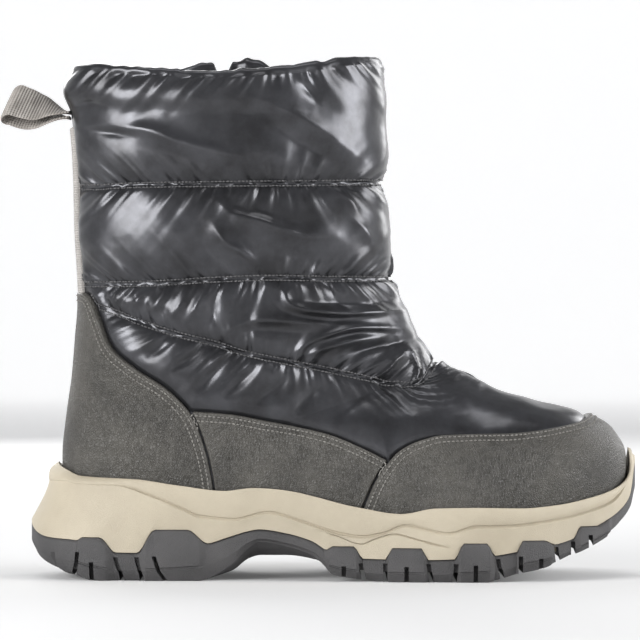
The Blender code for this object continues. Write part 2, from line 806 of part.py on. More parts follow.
def midsole():
    """Foam cup: a rolled rim, a moulded step and a flare down to the outsole."""
    rim = rim_ring()
    foot = [(*sole_point(angle, 0), joint_height(angle) + GAP) for angle in ANGLES]

    def between(share, out, outset=0.0, lower=0.0):
        ring_points = []
        for angle, high, low in zip(ANGLES, rim, foot):
            f = share(angle)
            g = out(f)
            normal = plan_point(angle, SOLE_LENGTH, SOLE_WIDTH, SOLE_BACK, "sole", 0)[1]
            x = high[0] + (low[0] - high[0]) * g + outset * normal[0]
            y = high[1] + (low[1] - high[1]) * g + outset * normal[1]
            ring_points.append((x, y, high[2] + (low[2] - high[2]) * f - lower))
        return ring_points

    def line_share(angle):
        along = (1 - math.cos(angle)) / 2
        line = SOLE_HEIGHT * float(lookup(LINE, "height", along))
        i = ANGLES.index(angle)
        return min(max((rim[i][2] - line) / (rim[i][2] - foot[i][2]), 0.2), 0.8)

    def flare(f):
        return float(smooth([0, 0.14, 0.39, 1], [0, 0.27, 0.38, 1], f))

    rings = [
        rim,
        between(lambda a: 0.4 * line_share(a), flare, RIM_ROLL),
        between(line_share, flare),
        between(line_share, flare, STEP, STEP),
        between(lambda a: 0.5 + 0.5 * line_share(a), flare, STEP),
        foot,
        [(*sole_point(a, -lip_width(a) - GAP), joint_height(a) + GAP) for a in ANGLES],
        [(*sole_point(a, -lip_width(a) - GAP), tray_height(a) + GAP) for a in ANGLES],
    ]
    piece = add_object("midsole", loft(rings), FOAM)
    add_cut(piece, add_cutter("foot_form", foot_form(CUP)))
    return piece


def upper():
    """Padded nylon shell, open at the collar and underneath, notched above the zip."""
    piece = add_object("upper", shell(-WALL, WALL), NYLON)
    notch = [
        (ZIP_X - NOTCH_WIDTH / 2, BOOT_HEIGHT + REACH),
        (ZIP_X - NOTCH_WIDTH / 8, BOOT_HEIGHT - NOTCH_DEPTH),
        (ZIP_X + NOTCH_WIDTH / 8, BOOT_HEIGHT - NOTCH_DEPTH),
        (ZIP_X + NOTCH_WIDTH / 2, BOOT_HEIGHT + REACH),
    ]
    add_cut(piece, add_cutter("collar_notch", side_prism(notch, REACH, SHAFT_WIDTH)))
    shade_smooth(piece)
    return piece


def shell(inner, thickness):
    """Closed wall round the upper, from one outset to another, with its lower edge cut level."""
    mesh = bmesh.new()
    near = add_grid(mesh, RINGS + inner * NORMALS, inwards=True)
    far = add_grid(mesh, RINGS + (inner + thickness) * NORMALS)
    for j in range(len(near[0]) - 1):
        add_quad(mesh, near[0][j], near[0][j + 1], far[0][j + 1], far[0][j])
    for i in range(ROWS.index(CORNER), len(near) - 1):
        add_quad(mesh, near[i + 1][0], near[i][0], far[i][0], far[i + 1][0])
        add_quad(mesh, near[i][-1], near[i + 1][-1], far[i + 1][-1], far[i][-1])
    bmesh.ops.recalc_face_normals(mesh, faces=mesh.faces)
    return mesh


def overlay(name, outline, finish, inner, thickness, y_low, y_high):
    """A piece that lies on the upper: the part of a wall round it that a prism keeps."""
    piece = add_object(name, shell(inner, thickness), finish)
    add_cut(piece, add_cutter(name + "_pattern", side_prism(outline, y_low, y_high)), "INTERSECT")
    shade_smooth(piece)
    return piece


def places(edge, shift=0.0):
    """Side view points of an edge table, shifted along the foot."""
    return [(upper_place(p.along, p.rise)[0] + shift, upper_place(p.along, p.rise)[1]) for p in edge]


def bed_run(start, end, count=8):
    """Side view points just above the bed, from one share of the length to another."""
    points = []
    for along in np.linspace(start, end, count):
        x, z = upper_place(float(along), 0)
        points.append((x, z + EDGE_LIFT))
    return points


def heel_counter():
    """Leather cup round the heel."""
    edge = places(COUNTER_EDGE)
    outline = edge + bed_run(COUNTER_EDGE[-1].along, -PAST_END)[1:]
    return overlay("heel_counter", outline, LEATHER_GREY, GAP, LEATHER, -UPPER_WIDTH, UPPER_WIDTH)


def toe_cap():
    """Leather cap over the toe."""
    edge = places(CAP_EDGE)
    reach = UPPER_BACK + UPPER_LENGTH * (1 + PAST_END)
    outline = edge + [(reach, edge[-1][1])] + bed_run(1 + PAST_END, CAP_EDGE[0].along)[:-1]
    return overlay("toe_cap", outline, LEATHER_GREY, GAP, LEATHER, -UPPER_WIDTH, UPPER_WIDTH)


def edge_at(edge, rise):
    """Share of the length where an edge table reaches a rise."""
    table = sorted(edge, key=lambda p: p.rise)
    return float(np.interp(rise, [p.rise for p in table], [p.along for p in table]))


def side_panel(name, y_low, y_high):
    """Leather panel along the foot, between counter and toe cap."""
    def shifted(edge, high, gap):
        low = edge[0].rise
        rows = [p for p in edge if low < p.rise < high]
        return places([edge[0]] + rows + [Edge(edge_at(edge, high), high)], gap)

    back = shifted(COUNTER_EDGE[:4:-1], PANEL_BACK_TOP, GAP * 2)
    front = shifted(CAP_EDGE[:6], PANEL_FRONT_TOP, -GAP * 2)
    top = places(PANEL_EDGE)
    bottom = bed_run(CAP_EDGE[0].along - PANEL_INSET, COUNTER_EDGE[-1].along + PANEL_INSET)
    outline = back + top + front[::-1] + bottom
    return overlay(name, outline, LEATHER_GREY, GAP, PANEL, y_low, y_high)


def backstay():
    """Webbing strip down the back, from the pull loop to the heel counter."""
    top = upper_place(0, LOOP_ROOT_RISE)[1] - 2 * WEBBING
    foot = places(COUNTER_EDGE)[0][1] + 2 * GAP
    back, front = UPPER_BACK - 2 * REACH, UPPER_BACK + 3 * REACH
    outline = [(back, foot), (front, foot), (front, top), (back, top)]
    return overlay("backstay", outline, WEB, GAP, STRIP, -STRIP_WIDTH / 2, STRIP_WIDTH / 2)


def pull_loop():
    """Doubled webbing that leaves the back of the collar and turns on its way out."""
    root_z = upper_place(0, LOOP_ROOT_RISE)[1]
    half_root = BENDS[0].open * LOOP_LENGTH + WEBBING / 2
    root_x = min(surface_point((UPPER_BACK - LOOP_LENGTH, GAP, root_z + side * half_root), (1, 0, 0)).x
                 for side in (-1, 0, 1)) - GAP

    def centre(reach):
        rise = float(smooth(column(BENDS, "reach"), column(BENDS, "rise"), reach))
        turn = math.radians(float(smooth(column(BENDS, "reach"), column(BENDS, "turn"), reach)))
        point = Vector((root_x - reach * LOOP_LENGTH, 0, root_z + rise * LOOP_LENGTH))
        wide = Vector((0.35 * math.sin(turn), math.cos(turn), math.sin(turn) * 0.94))
        forward = Vector((-1, 0, 0.15))
        up = wide.cross(forward)
        return point, wide.normalized(), -up.normalized() if up.z < 0 else up.normalized()

    strands = []
    reaches = np.linspace(0, BENDS[-1].reach, 9)
    for reach in reaches:
        open_half = LOOP_LENGTH * float(smooth(column(BENDS, "reach"), column(BENDS, "open"), reach))
        strands.append((reach, open_half))
    tip_radius = LOOP_LENGTH * BENDS[-1].open
    path = [(reach, half) for reach, half in strands]
    for angle in (60, 30, 0, -30, -60):
        turned = math.radians(angle)
        reach = BENDS[-1].reach + tip_radius * math.cos(turned) / LOOP_LENGTH
        path.append((reach, tip_radius * math.sin(turned)))
    path += [(reach, -half) for reach, half in reversed(strands)]
    spots = []
    for reach, height in path:
        point, wide, up = centre(reach)
        spots.append((point + up * height, wide))
    mesh = bmesh.new()
    loops = []
    for i, (spot, wide) in enumerate(spots):
        ahead = spots[min(i + 1, len(spots) - 1)][0] - spots[max(i - 1, 0)][0]
        across = ahead.cross(wide).normalized() * WEBBING / 2
        side = wide * LOOP_WIDTH / 2
        corners = (spot + across + side, spot + across - side, spot - across - side, spot - across + side)
        loops.append([mesh.verts.new(corner) for corner in corners])
    for one, two in zip(loops, loops[1:]):
        for i in range(4):
            j = (i + 1) % 4
            mesh.faces.new((one[i], one[j], two[j], two[i]))
    mesh.faces.new(loops[0][::-1])
    mesh.faces.new(loops[-1])
    bmesh.ops.recalc_face_normals(mesh, faces=mesh.faces)
    return add_object("pull_loop", mesh, WEB)


def insole():
    """Felt insole inside the upper's wall, resting on the midsole."""
    half = [math.pi * float(turn_of(along)) for along in INSOLE_STATIONS]
    angles = half + [2 * math.pi - angle for angle in half[-2:0:-1]]

    def level(lift):
        points = []
        for angle in angles:
            x, y = plan_point(angle, UPPER_LENGTH, UPPER_WIDTH, UPPER_BACK, "foot", -INSOLE_INSET)[0]
            points.append((x, y, float(bed_height((x - UPPER_BACK) / UPPER_LENGTH)) + lift))
        return points

    return add_object("insole", loft([level(GAP), level(GAP + INSOLE)]), FELT)


def slider_seat():
    """How far out the zip's slider must sit to clear the tape under all of its base."""
    spots = [(ZIP_X + i * SLIDER[0] / 2, SHAFT_WIDTH, ZIP_TOP + j * SLIDER[2] / 2)
             for i in (-1, 0, 1) for j in (-1, 0, 1)]
    return max(surface_point(spot, (0, -1, 0)).y for spot in spots) + TAPE + 3 * GAP


def zip_strip(name, width, inner, thickness, top, finish):
    """A strip of the zip, laid on the inner side."""
    outline = [(ZIP_X - width / 2, ZIP_FOOT), (ZIP_X + width / 2, ZIP_FOOT),
               (ZIP_X + width / 2, top), (ZIP_X - width / 2, top)]
    return overlay(name, outline, finish, inner, thickness, REACH, UPPER_WIDTH)


def zip_slider():
    """Slider at the top of the closed zip, with the bridge that holds the pull tab."""
    width, depth, height = SLIDER
    base = slider_seat()
    face = base + depth
    body = box_mesh((ZIP_X - width / 2, base, ZIP_TOP - height / 2),
                    (ZIP_X + width / 2, face, ZIP_TOP + height / 2))
    piece = add_object("zip_slider", body, METAL)
    sunk = face - BRIDGE_SUNK
    under = face + BRIDGE_HIGH - BRIDGE_BAR
    profile = [
        (sunk, -BRIDGE_OUT), (face + BRIDGE_HIGH, BRIDGE_SLOPE - BRIDGE_OUT),
        (face + BRIDGE_HIGH, BRIDGE_OUT - BRIDGE_SLOPE), (sunk, BRIDGE_OUT),
        (sunk, BRIDGE_IN), (under, BRIDGE_IN), (under, -BRIDGE_IN), (sunk, -BRIDGE_IN),
    ]
    bridge = prism([(ZIP_X - BRIDGE_WIDTH / 2, y, ZIP_TOP + z) for y, z in profile],
                   [(ZIP_X + BRIDGE_WIDTH / 2, y, ZIP_TOP + z) for y, z in profile])
    add_cut(piece, add_cutter("slider_bridge", bridge), "UNION")
    return piece


def zip_pull_tab():
    """Pull tab hanging from the slider's bridge; it swings on the bar of its eye."""
    width, thick, length = TAB
    y = slider_seat() + SLIDER[1] + (BRIDGE_HIGH - BRIDGE_BAR) / 2
    plate = box_mesh((-width / 2, -thick / 2, TAB_BAR / 2 - length), (width / 2, thick / 2, TAB_BAR / 2))
    piece = add_object("zip_pull_tab", plate, METAL)
    eye = box_mesh((TAB_RIM - width / 2, -thick, -TAB_BAR / 2 - TAB_EYE),
                   (width / 2 - TAB_RIM, thick, -TAB_BAR / 2))
    hole = add_cutter("tab_eye", eye)
    add_cut(piece, hole)
    piece.location = hole.location = (ZIP_X, y, ZIP_TOP)
    return piece


outsole()
midsole()
upper()
insole()
heel_counter()
toe_cap()
side_panel("side_panel_outer", -UPPER_WIDTH, -REACH)
side_panel("side_panel_inner", REACH, UPPER_WIDTH)
backstay()
pull_loop()
zip_strip("zip_tape", TAPE_WIDTH, GAP, TAPE, ZIP_TOP + SLIDER[2] / 2, WEB)
zip_strip("zip_chain", CHAIN_WIDTH, 2 * GAP + TAPE, CHAIN, ZIP_TOP - SLIDER[2] / 2 - GAP, COIL)
zip_slider()
zip_pull_tab()
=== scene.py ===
import math
from collections import namedtuple
from functools import lru_cache

import bmesh
import bpy
import numpy as np
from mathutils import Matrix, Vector, noise
from mathutils.bvhtree import BVHTree


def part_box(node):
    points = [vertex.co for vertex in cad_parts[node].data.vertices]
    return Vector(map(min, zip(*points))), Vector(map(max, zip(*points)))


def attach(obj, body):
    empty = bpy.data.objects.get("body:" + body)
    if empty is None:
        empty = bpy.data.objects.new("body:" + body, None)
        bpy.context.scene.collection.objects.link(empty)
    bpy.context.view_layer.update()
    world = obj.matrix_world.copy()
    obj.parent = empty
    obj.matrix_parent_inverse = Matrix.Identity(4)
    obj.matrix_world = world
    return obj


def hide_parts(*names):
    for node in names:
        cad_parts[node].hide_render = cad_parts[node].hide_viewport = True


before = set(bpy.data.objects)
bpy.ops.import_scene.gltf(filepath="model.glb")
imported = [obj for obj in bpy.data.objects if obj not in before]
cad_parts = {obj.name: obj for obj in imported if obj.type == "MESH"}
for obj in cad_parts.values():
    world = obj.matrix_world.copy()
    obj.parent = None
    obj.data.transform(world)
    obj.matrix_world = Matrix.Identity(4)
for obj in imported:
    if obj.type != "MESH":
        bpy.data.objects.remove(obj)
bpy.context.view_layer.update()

# %% [markdown]
# # A quilted winter boot
# The imported model is already in place: its bodies, its plain solids and its joint. This lesson dresses it.
# The padded shell, the leather, the sole, the webbing and the zip are each built again in full detail on
# the same surfaces that the plain solids follow, and the plain ones are hidden.

# %% [markdown]
# ## Camera, floor and light
# The boot is seen square from its outer side, level with the middle of the shaft, through a long lens, so
# there is little perspective. The floor is a wide pale dish whose rim rises far away, which hides the
# horizon from every side. Glossy nylon shows the lamps as soft bands, so there are several large lamps.

# %% Camera
PICTURE_WIDTH = 0.2967
CAMERA_AWAY = 1.8
AIM_X = 0.0835
AIM_Z = 0.1182
SENSOR = 36.0
SIGHT_LIMIT = 60

camera_data = bpy.data.cameras.new("camera")
camera_data.sensor_width = SENSOR
camera_data.lens = SENSOR * CAMERA_AWAY / PICTURE_WIDTH
camera_data.clip_end = SIGHT_LIMIT
camera = bpy.data.objects.new("camera", camera_data)
camera.location = (AIM_X, -CAMERA_AWAY, AIM_Z)
camera.rotation_euler = (math.pi / 2, 0, 0)
bpy.context.scene.collection.objects.link(camera)
bpy.context.scene.camera = camera
bpy.context.scene.view_settings.view_transform = "Standard"
print("lens", round(camera_data.lens), "mm")

# %% Floor dish
FLAT_RADII = (0.0, 2.0, 4.5)
DISH_RADIUS = 7.0
DISH_RISE = 3.5
BEND_POINTS = 12
DISH_SIDES = 96


def floor_dish():
    """A round floor whose rim bends up, turned from a profile."""
    flat = FLAT_RADII[-1]
    profile = [(radius, 0.0) for radius in FLAT_RADII]
    profile += [(flat + (DISH_RADIUS - flat) * math.sin(t), DISH_RISE * (1 - math.cos(t)))
                for t in np.linspace(0, math.pi / 2, BEND_POINTS)[1:]]
    mesh = bmesh.new()
    verts = [mesh.verts.new((x, 0, z)) for x, z in profile]
    edges = [mesh.edges.new(pair) for pair in zip(verts, verts[1:])]
    bmesh.ops.spin(mesh, geom=verts + edges, cent=(0, 0, 0), axis=(0, 0, 1), angle=2 * math.pi,
                   steps=DISH_SIDES)
    bmesh.ops.remove_doubles(mesh, verts=mesh.verts, dist=1e-5)
    bmesh.ops.recalc_face_normals(mesh, faces=mesh.faces)
    data = bpy.data.meshes.new("floor")
    mesh.to_mesh(data)
    mesh.free()
    data.shade_smooth()
    dish = bpy.data.objects.new("floor", data)
    bpy.context.scene.collection.objects.link(dish)
    return dish


floor = floor_dish()
print("floor", len(floor.data.polygons), "faces")

# %% Finish of the floor
Ramp = namedtuple("Ramp", "near far low high")
FLOOR_SHADE = Ramp(0.4, 5.0, 0.62, 0.93)
FLOOR_GLOW = Ramp(0.8, 4.0, 0.07, 0.50)
FLOOR_ROUGHNESS = 0.9


def ramp_node(tree, value, ramp):
    """A value that runs from low to high between two distances."""
    node = tree.nodes.new("ShaderNodeMapRange")
    for socket, number in zip(node.inputs[1:5], ramp):
        socket.default_value = number
    tree.links.new(value, node.inputs[0])
    return node.outputs[0]


def floor_finish():
    """Matt pale grey, paler far out, with a slight glow behind the boot, where little lamp light falls."""
    finish = bpy.data.materials.new("floor")
    finish.use_nodes = True
    tree = finish.node_tree
    shader = tree.nodes["Principled BSDF"]
    place = tree.nodes.new("ShaderNodeTexCoord")
    away = tree.nodes.new("ShaderNodeVectorMath")
    away.operation = "LENGTH"
    axes = tree.nodes.new("ShaderNodeSeparateXYZ")
    tree.links.new(place.outputs["Object"], away.inputs[0])
    tree.links.new(place.outputs["Object"], axes.inputs[0])
    tree.links.new(ramp_node(tree, away.outputs["Value"], FLOOR_SHADE), shader.inputs["Base Color"])
    tree.links.new(ramp_node(tree, axes.outputs["Y"], FLOOR_GLOW), shader.inputs["Emission Color"])
    shader.inputs["Emission Strength"].default_value = 1.0
    shader.inputs["Roughness"].default_value = FLOOR_ROUGHNESS
    return finish


floor.data.materials.append(floor_finish())
print("floor shade", FLOOR_SHADE, "glow", FLOOR_GLOW)

# %% Lamps
Lamp = namedtuple("Lamp", "name place aim size power")
LAMPS = [
    Lamp("key", (-1.35, -1.25, 0.55), (0.04, 0.0, 0.13), (1.2, 1.3), 50),
    Lamp("right_fill", (1.85, -0.45, 0.60), (0.10, 0.0, 0.13), (1.2, 1.2), 38),
    Lamp("top", (0.05, -0.20, 1.9), (0.08, 0.0, 0.10), (1.2, 0.5), 7),
    Lamp("behind", (-0.5, 1.6, 0.9), (0.05, 0.0, 0.12), (1.0, 1.0), 15),
    Lamp("behind_right", (1.2, 1.3, 0.8), (0.10, 0.0, 0.10), (0.6, 1.0), 9),
]
WORLD_TINT = (0.95, 0.96, 1.0, 1)
WORLD_STRENGTH = 0.27


def add_lamp(lamp):
    """A rectangular lamp aimed at a point."""
    light = bpy.data.lights.new(lamp.name, "AREA")
    light.shape = "RECTANGLE"
    light.size, light.size_y = lamp.size
    light.energy = lamp.power
    holder = bpy.data.objects.new(lamp.name, light)
    holder.location = lamp.place
    holder.rotation_euler = (Vector(lamp.aim) - Vector(lamp.place)).to_track_quat("-Z", "Y").to_euler()
    bpy.context.scene.collection.objects.link(holder)


for lamp in LAMPS:
    add_lamp(lamp)
world = bpy.data.worlds.new("studio")
world.use_nodes = True
sky = world.node_tree.nodes["Background"]
sky.inputs["Color"].default_value = WORLD_TINT
sky.inputs["Strength"].default_value = WORLD_STRENGTH
bpy.context.scene.world = world
print("lamps", len(LAMPS))

# %% [markdown]
# ## The boot's own sizes
# These are the sizes and the tables of sections that the plain model was made from, in metres and in shares
# of the named sizes. Repeating them here gives surfaces that lie exactly where the plain solids lie. Each
# table stands where it is first used: first the outline from above and the bed that the foot stands on.

# %% Sizes of the boot
SOLE_LENGTH = 0.280
SOLE_WIDTH = 0.108
SOLE_HEIGHT = 0.056
SOLE_BACK = -0.050
BOOT_HEIGHT = 0.236
SHAFT_WIDTH = 0.088
UPPER_WIDTH = 0.096
UPPER_BACK = -0.033
UPPER_LENGTH = 0.256
INSTEP_HEIGHT = 0.075
BED_HEIGHT = 0.036
WALL = 0.004
LEATHER = 0.0018
PANEL = 0.0012
STRIP = 0.0014
STRIP_WIDTH = 0.025
TAPE = 0.0008
TAPE_WIDTH = 0.016
GAP = 0.0003
CUP = 2 * GAP + LEATHER
ZIP_X = UPPER_BACK + 0.275 * UPPER_LENGTH
ZIP_TOP = 0.213
ZIP_FOOT = 0.092
MM = 0.001
print("boot", BOOT_HEIGHT / MM, "mm high on a sole", SOLE_LENGTH / MM, "mm long")

# %% Outline from above and bed of the foot
Plan = namedtuple("Plan", "along centre foot sole")
PLAN = [
    Plan(0.00, 0.000, 0.000, 0.000),
    Plan(0.02, 0.000, 0.170, 0.190),
    Plan(0.06, 0.000, 0.270, 0.300),
    Plan(0.12, 0.000, 0.330, 0.362),
    Plan(0.20, 0.000, 0.355, 0.390),
    Plan(0.30, 0.000, 0.352, 0.387),
    Plan(0.42, -0.005, 0.352, 0.388),
    Plan(0.55, -0.012, 0.415, 0.432),
    Plan(0.68, -0.004, 0.490, 0.494),
    Plan(0.74, 0.004, 0.498, 0.500),
    Plan(0.82, 0.018, 0.478, 0.482),
    Plan(0.90, 0.038, 0.400, 0.407),
    Plan(0.95, 0.052, 0.305, 0.312),
    Plan(0.98, 0.062, 0.197, 0.203),
    Plan(1.00, 0.068, 0.000, 0.000),
]

Bed = namedtuple("Bed", "along height")
BED = [
    Bed(0.000, 1.000), Bed(0.066, 0.927), Bed(0.165, 0.876), Bed(0.292, 0.798), Bed(0.437, 0.683),
    Bed(0.600, 0.618), Bed(0.727, 0.618), Bed(0.836, 0.695), Bed(0.912, 0.811), Bed(0.959, 0.927),
    Bed(0.984, 1.017), Bed(1.000, 1.107),
]
print("outline", len(PLAN), "places, bed", len(BED))

# %% Smooth curves and lookups
def smooth(xs, ys, x):
    """Values at x of a smooth curve through the points (xs, ys) that never overshoots them."""
    xs = np.asarray(xs, float)
    ys = np.asarray(ys, float)
    x = np.clip(x, xs[0], xs[-1])
    width = np.diff(xs)
    slope = np.diff(ys) / width
    before, after = slope[:-1], slope[1:]
    same_way = before * after > 0
    middle = np.where(same_way, 2 * before * after / np.where(same_way, before + after, 1), 0)
    tangent = np.concatenate(([slope[0]], middle, [slope[-1]]))
    i = np.clip(np.searchsorted(xs, x, side="right") - 1, 0, len(width) - 1)
    t = (x - xs[i]) / width[i]
    start = ys[i] * (1 + 2 * t) * (1 - t) ** 2 + tangent[i] * width[i] * t * (1 - t) ** 2
    end = ys[i + 1] * t * t * (3 - 2 * t) - tangent[i + 1] * width[i] * t * t * (1 - t)
    return start + end


def column(table, name):
    """One named column of a table."""
    return np.array([getattr(row, name) for row in table], float)


def turn_of(along):
    """Angle round a plan outline, from 0 at the heel to 1 at the toe, for a share of its length."""
    return np.arccos(1 - 2 * np.clip(along, 0, 1)) / math.pi


def lookup(table, name, along):
    """A table's column at a share of the length, fine near heel and toe."""
    return smooth(turn_of(column(table, "along")), column(table, name), turn_of(along))


def bed_height(along):
    """Underside of the shell above the floor."""
    return BED_HEIGHT * smooth(column(BED, "along"), column(BED, "height"), along)


def ease(x):
    """Smooth step from 0 to 1."""
    x = np.clip(x, 0, 1)
    return x * x * (3 - 2 * x)


print("bed at the ball", round(float(bed_height(0.7)) / MM, 1), "mm")

# %% [markdown]
# ## One surface for everything that is sewn
# The shell of a boot is a skin stretched over a last. It is described here as a net of rings: the first
# ring is the collar, the next ones go down the leg, and past the heel's corner they lean over until they
# become slices across the toes. Each ring is half an oval that is mirrored. Any number of rings and columns
# can be read from the same few sections, so the net is as fine as the folds need.

# %% Sections of the leg
Shaft = namedtuple("Shaft", "name front_along front_rise back_along back_rise "
                            "half widest front_power back_power")
SHAFT = [
    Shaft("collar", 0.558, 1.000, 0.004, 0.986, 0.500, 0.52, 2.15, 2.15),
    Shaft("collar roll", 0.563, 0.892, -0.009, 0.940, 0.520, 0.52, 2.20, 2.20),
    Shaft("loop seam", 0.565, 0.832, 0.006, 0.884, 0.504, 0.52, 2.20, 2.20),
    Shaft("upper puff", 0.567, 0.718, 0.012, 0.806, 0.512, 0.52, 2.20, 2.20),
    Shaft("first quilting seam", 0.567, 0.608, 0.015, 0.729, 0.492, 0.52, 2.20, 2.20),
    Shaft("middle puff", 0.572, 0.450, 0.017, 0.621, 0.506, 0.52, 2.20, 2.20),
    Shaft("second quilting seam", 0.581, 0.293, 0.022, 0.513, 0.476, 0.53, 2.20, 2.20),
    Shaft("ankle", 0.595, 0.211, 0.024, 0.448, 0.474, 0.54, 2.15, 2.20),
    Shaft("counter top", 0.611, 0.141, 0.020, 0.379, 0.462, 0.56, 2.10, 2.30),
    Shaft("heel upper", 0.631, 0.078, 0.014, 0.285, 0.454, 0.58, 2.05, 2.30),
    Shaft("heel middle", 0.649, 0.037, 0.004, 0.191, 0.448, 0.60, 2.00, 2.25),
    Shaft("heel low", 0.665, 0.014, -0.003, 0.097, 0.446, 0.62, 2.00, 2.20),
    Shaft("heel corner", 0.680, -0.003, 0.000, 0.000, 0.446, 0.64, 2.00, 2.12),
]
print("leg", len(SHAFT), "sections")

# %% Slices of the foot
Foot = namedtuple("Foot", "name front_along front_rise back_along half widest front_power back_power")
FOOT = [
    Foot("seat", 0.692, 0.970, 0.057, 0.410, 0.66, 2.00, 2.30),
    Foot("seat front", 0.705, 0.952, 0.138, 0.414, 0.68, 2.00, 2.45),
    Foot("waist back", 0.720, 0.927, 0.238, 0.420, 0.70, 2.00, 2.60),
    Foot("waist", 0.738, 0.893, 0.350, 0.430, 0.71, 2.00, 2.60),
    Foot("instep", 0.761, 0.847, 0.464, 0.448, 0.72, 2.00, 2.60),
    Foot("ball back", 0.790, 0.800, 0.573, 0.474, 0.72, 2.05, 2.60),
    Foot("ball", 0.823, 0.758, 0.673, 0.502, 0.72, 2.10, 2.60),
    Foot("vamp", 0.857, 0.707, 0.758, 0.508, 0.72, 2.15, 2.60),
    Foot("vamp front", 0.893, 0.650, 0.836, 0.488, 0.72, 2.20, 2.60),
    Foot("toe back", 0.926, 0.592, 0.893, 0.440, 0.72, 2.25, 2.50),
    Foot("toe top", 0.951, 0.522, 0.935, 0.375, 0.70, 2.30, 2.40),
    Foot("toe cap", 0.973, 0.445, 0.964, 0.305, 0.68, 2.30, 2.30),
    Foot("toe turn", 0.989, 0.344, 0.983, 0.235, 0.64, 2.30, 2.20),
    Foot("toe face", 1.000, 0.241, 0.994, 0.165, 0.60, 2.20, 2.10),
    Foot("toe low", 1.003, 0.136, 0.999, 0.090, 0.55, 2.10, 2.00),
    Foot("tip", 1.000, 0.000, 1.000, 0.000, 0.50, 2.00, 2.00),
]
print("foot", len(FOOT), "slices")

# %% Rings of the skin
OVAL_STEPS = 160
FOOT_MARGIN = 1.02


def section_rows():
    """Every section as front point, back point, half width, widest place, powers and width at the back."""
    rows = []
    for s in SHAFT:
        low = float(bed_height(s.front_along)) + INSTEP_HEIGHT
        front = (UPPER_BACK + UPPER_LENGTH * s.front_along, low + s.front_rise * (BOOT_HEIGHT - low))
        foot = float(bed_height(s.back_along))
        back = (UPPER_BACK + UPPER_LENGTH * s.back_along, foot + s.back_rise * (BOOT_HEIGHT - foot))
        rows.append([*front, *back, s.half * SHAFT_WIDTH, s.widest, s.front_power, s.back_power, 0])
    for f in FOOT:
        low = float(bed_height(f.front_along))
        front = (UPPER_BACK + UPPER_LENGTH * f.front_along, low + f.front_rise * INSTEP_HEIGHT)
        back = (UPPER_BACK + UPPER_LENGTH * f.back_along, float(bed_height(f.back_along)))
        foot = float(lookup(PLAN, "foot", f.back_along)) * UPPER_WIDTH
        rows.append([*front, *back, f.half * UPPER_WIDTH, f.widest, f.front_power, f.back_power, foot])
    return np.array(rows)


SECTIONS = section_rows()
CORNER = len(SHAFT) - 1


def half_section(row, columns):
    """Evenly spaced points of one section's half, from the front to the back."""
    index = np.arange(len(SECTIONS))
    values = [float(smooth(index, SECTIONS[:, i], row)) for i in range(SECTIONS.shape[1])]
    front_x, front_z, back_x, back_z, half, widest, front_power, back_power, foot = values
    if row > CORNER:
        along = (back_x - UPPER_BACK) / UPPER_LENGTH
        back_z = float(bed_height(along))
        foot = float(lookup(PLAN, "foot", along)) * UPPER_WIDTH
        half = max(half, foot * FOOT_MARGIN)
    angle = np.linspace(0, math.pi / 2, OVAL_STEPS)
    t = np.concatenate((widest * (1 - np.cos(angle)), widest + (1 - widest) * np.sin(angle[1:])))
    near = np.clip((widest - t) / widest, 0, 1)
    far = np.clip((t - widest) / (1 - widest), 0, 1)
    closing = 1 - (foot / half) ** back_power if half > 0 else 1
    y = half * np.where(t < widest,
                        (1 - near ** front_power) ** (1 / front_power),
                        np.maximum(1 - closing * far ** back_power, 0) ** (1 / back_power))
    points = np.stack((front_x + (back_x - front_x) * t, y, front_z + (back_z - front_z) * t), axis=1)
    run = np.concatenate(([0], np.cumsum(np.linalg.norm(np.diff(points, axis=0), axis=1))))
    spaced = np.linspace(0, 1, columns + 1) * run[-1]
    return np.stack([np.interp(spaced, run, points[:, i]) for i in range(3)], axis=1)


def ring(row, columns):
    """A whole section, from the outer side's back round the front to the inner side's back."""
    half = half_section(row, columns)
    whole = np.concatenate((half[::-1] * np.array([1, -1, 1]), half[1:]))
    whole[:, 1] += UPPER_WIDTH * lookup(PLAN, "centre", (whole[:, 0] - UPPER_BACK) / UPPER_LENGTH)
    return whole


def ring_places(spacing, last):
    """Places of rings no further apart than spacing at the front and at the back."""
    rows = [0.0]
    for i in range(len(SECTIONS) - 1):
        reach = max(math.dist(SECTIONS[i, 0:2], SECTIONS[i + 1, 0:2]),
                    math.dist(SECTIONS[i, 2:4], SECTIONS[i + 1, 2:4]))
        count = max(2, math.ceil(reach / spacing))
        rows += [i + (j + 1) / count for j in range(count)]
    return [row for row in rows if row <= last]


print("sections", SECTIONS.shape, "corner at", CORNER)

# %% The net
NET_SPACING = 0.95 * MM
NET_COLUMNS = 208
SHORT_OF_TIP = 0.04
LAST_ROW = len(SECTIONS) - 1 - SHORT_OF_TIP


def net_normals(points):
    """Outward direction at each point of a net of rings."""
    down = np.gradient(points, axis=0)
    across = np.gradient(points, axis=1)
    normals = np.cross(down, across)
    return normals / np.maximum(np.linalg.norm(normals, axis=2, keepdims=True), 1e-12)


ROWS = np.array(ring_places(NET_SPACING, LAST_ROW))
SKIN = np.array([ring(row, NET_COLUMNS) for row in ROWS])
NORMALS = net_normals(SKIN)
if NORMALS[len(ROWS) // 4, NET_COLUMNS // 2, 1] > 0:
    NORMALS = -NORMALS
print("net", SKIN.shape, "normal at the outer side", np.round(NORMALS[40, NET_COLUMNS // 2], 2))
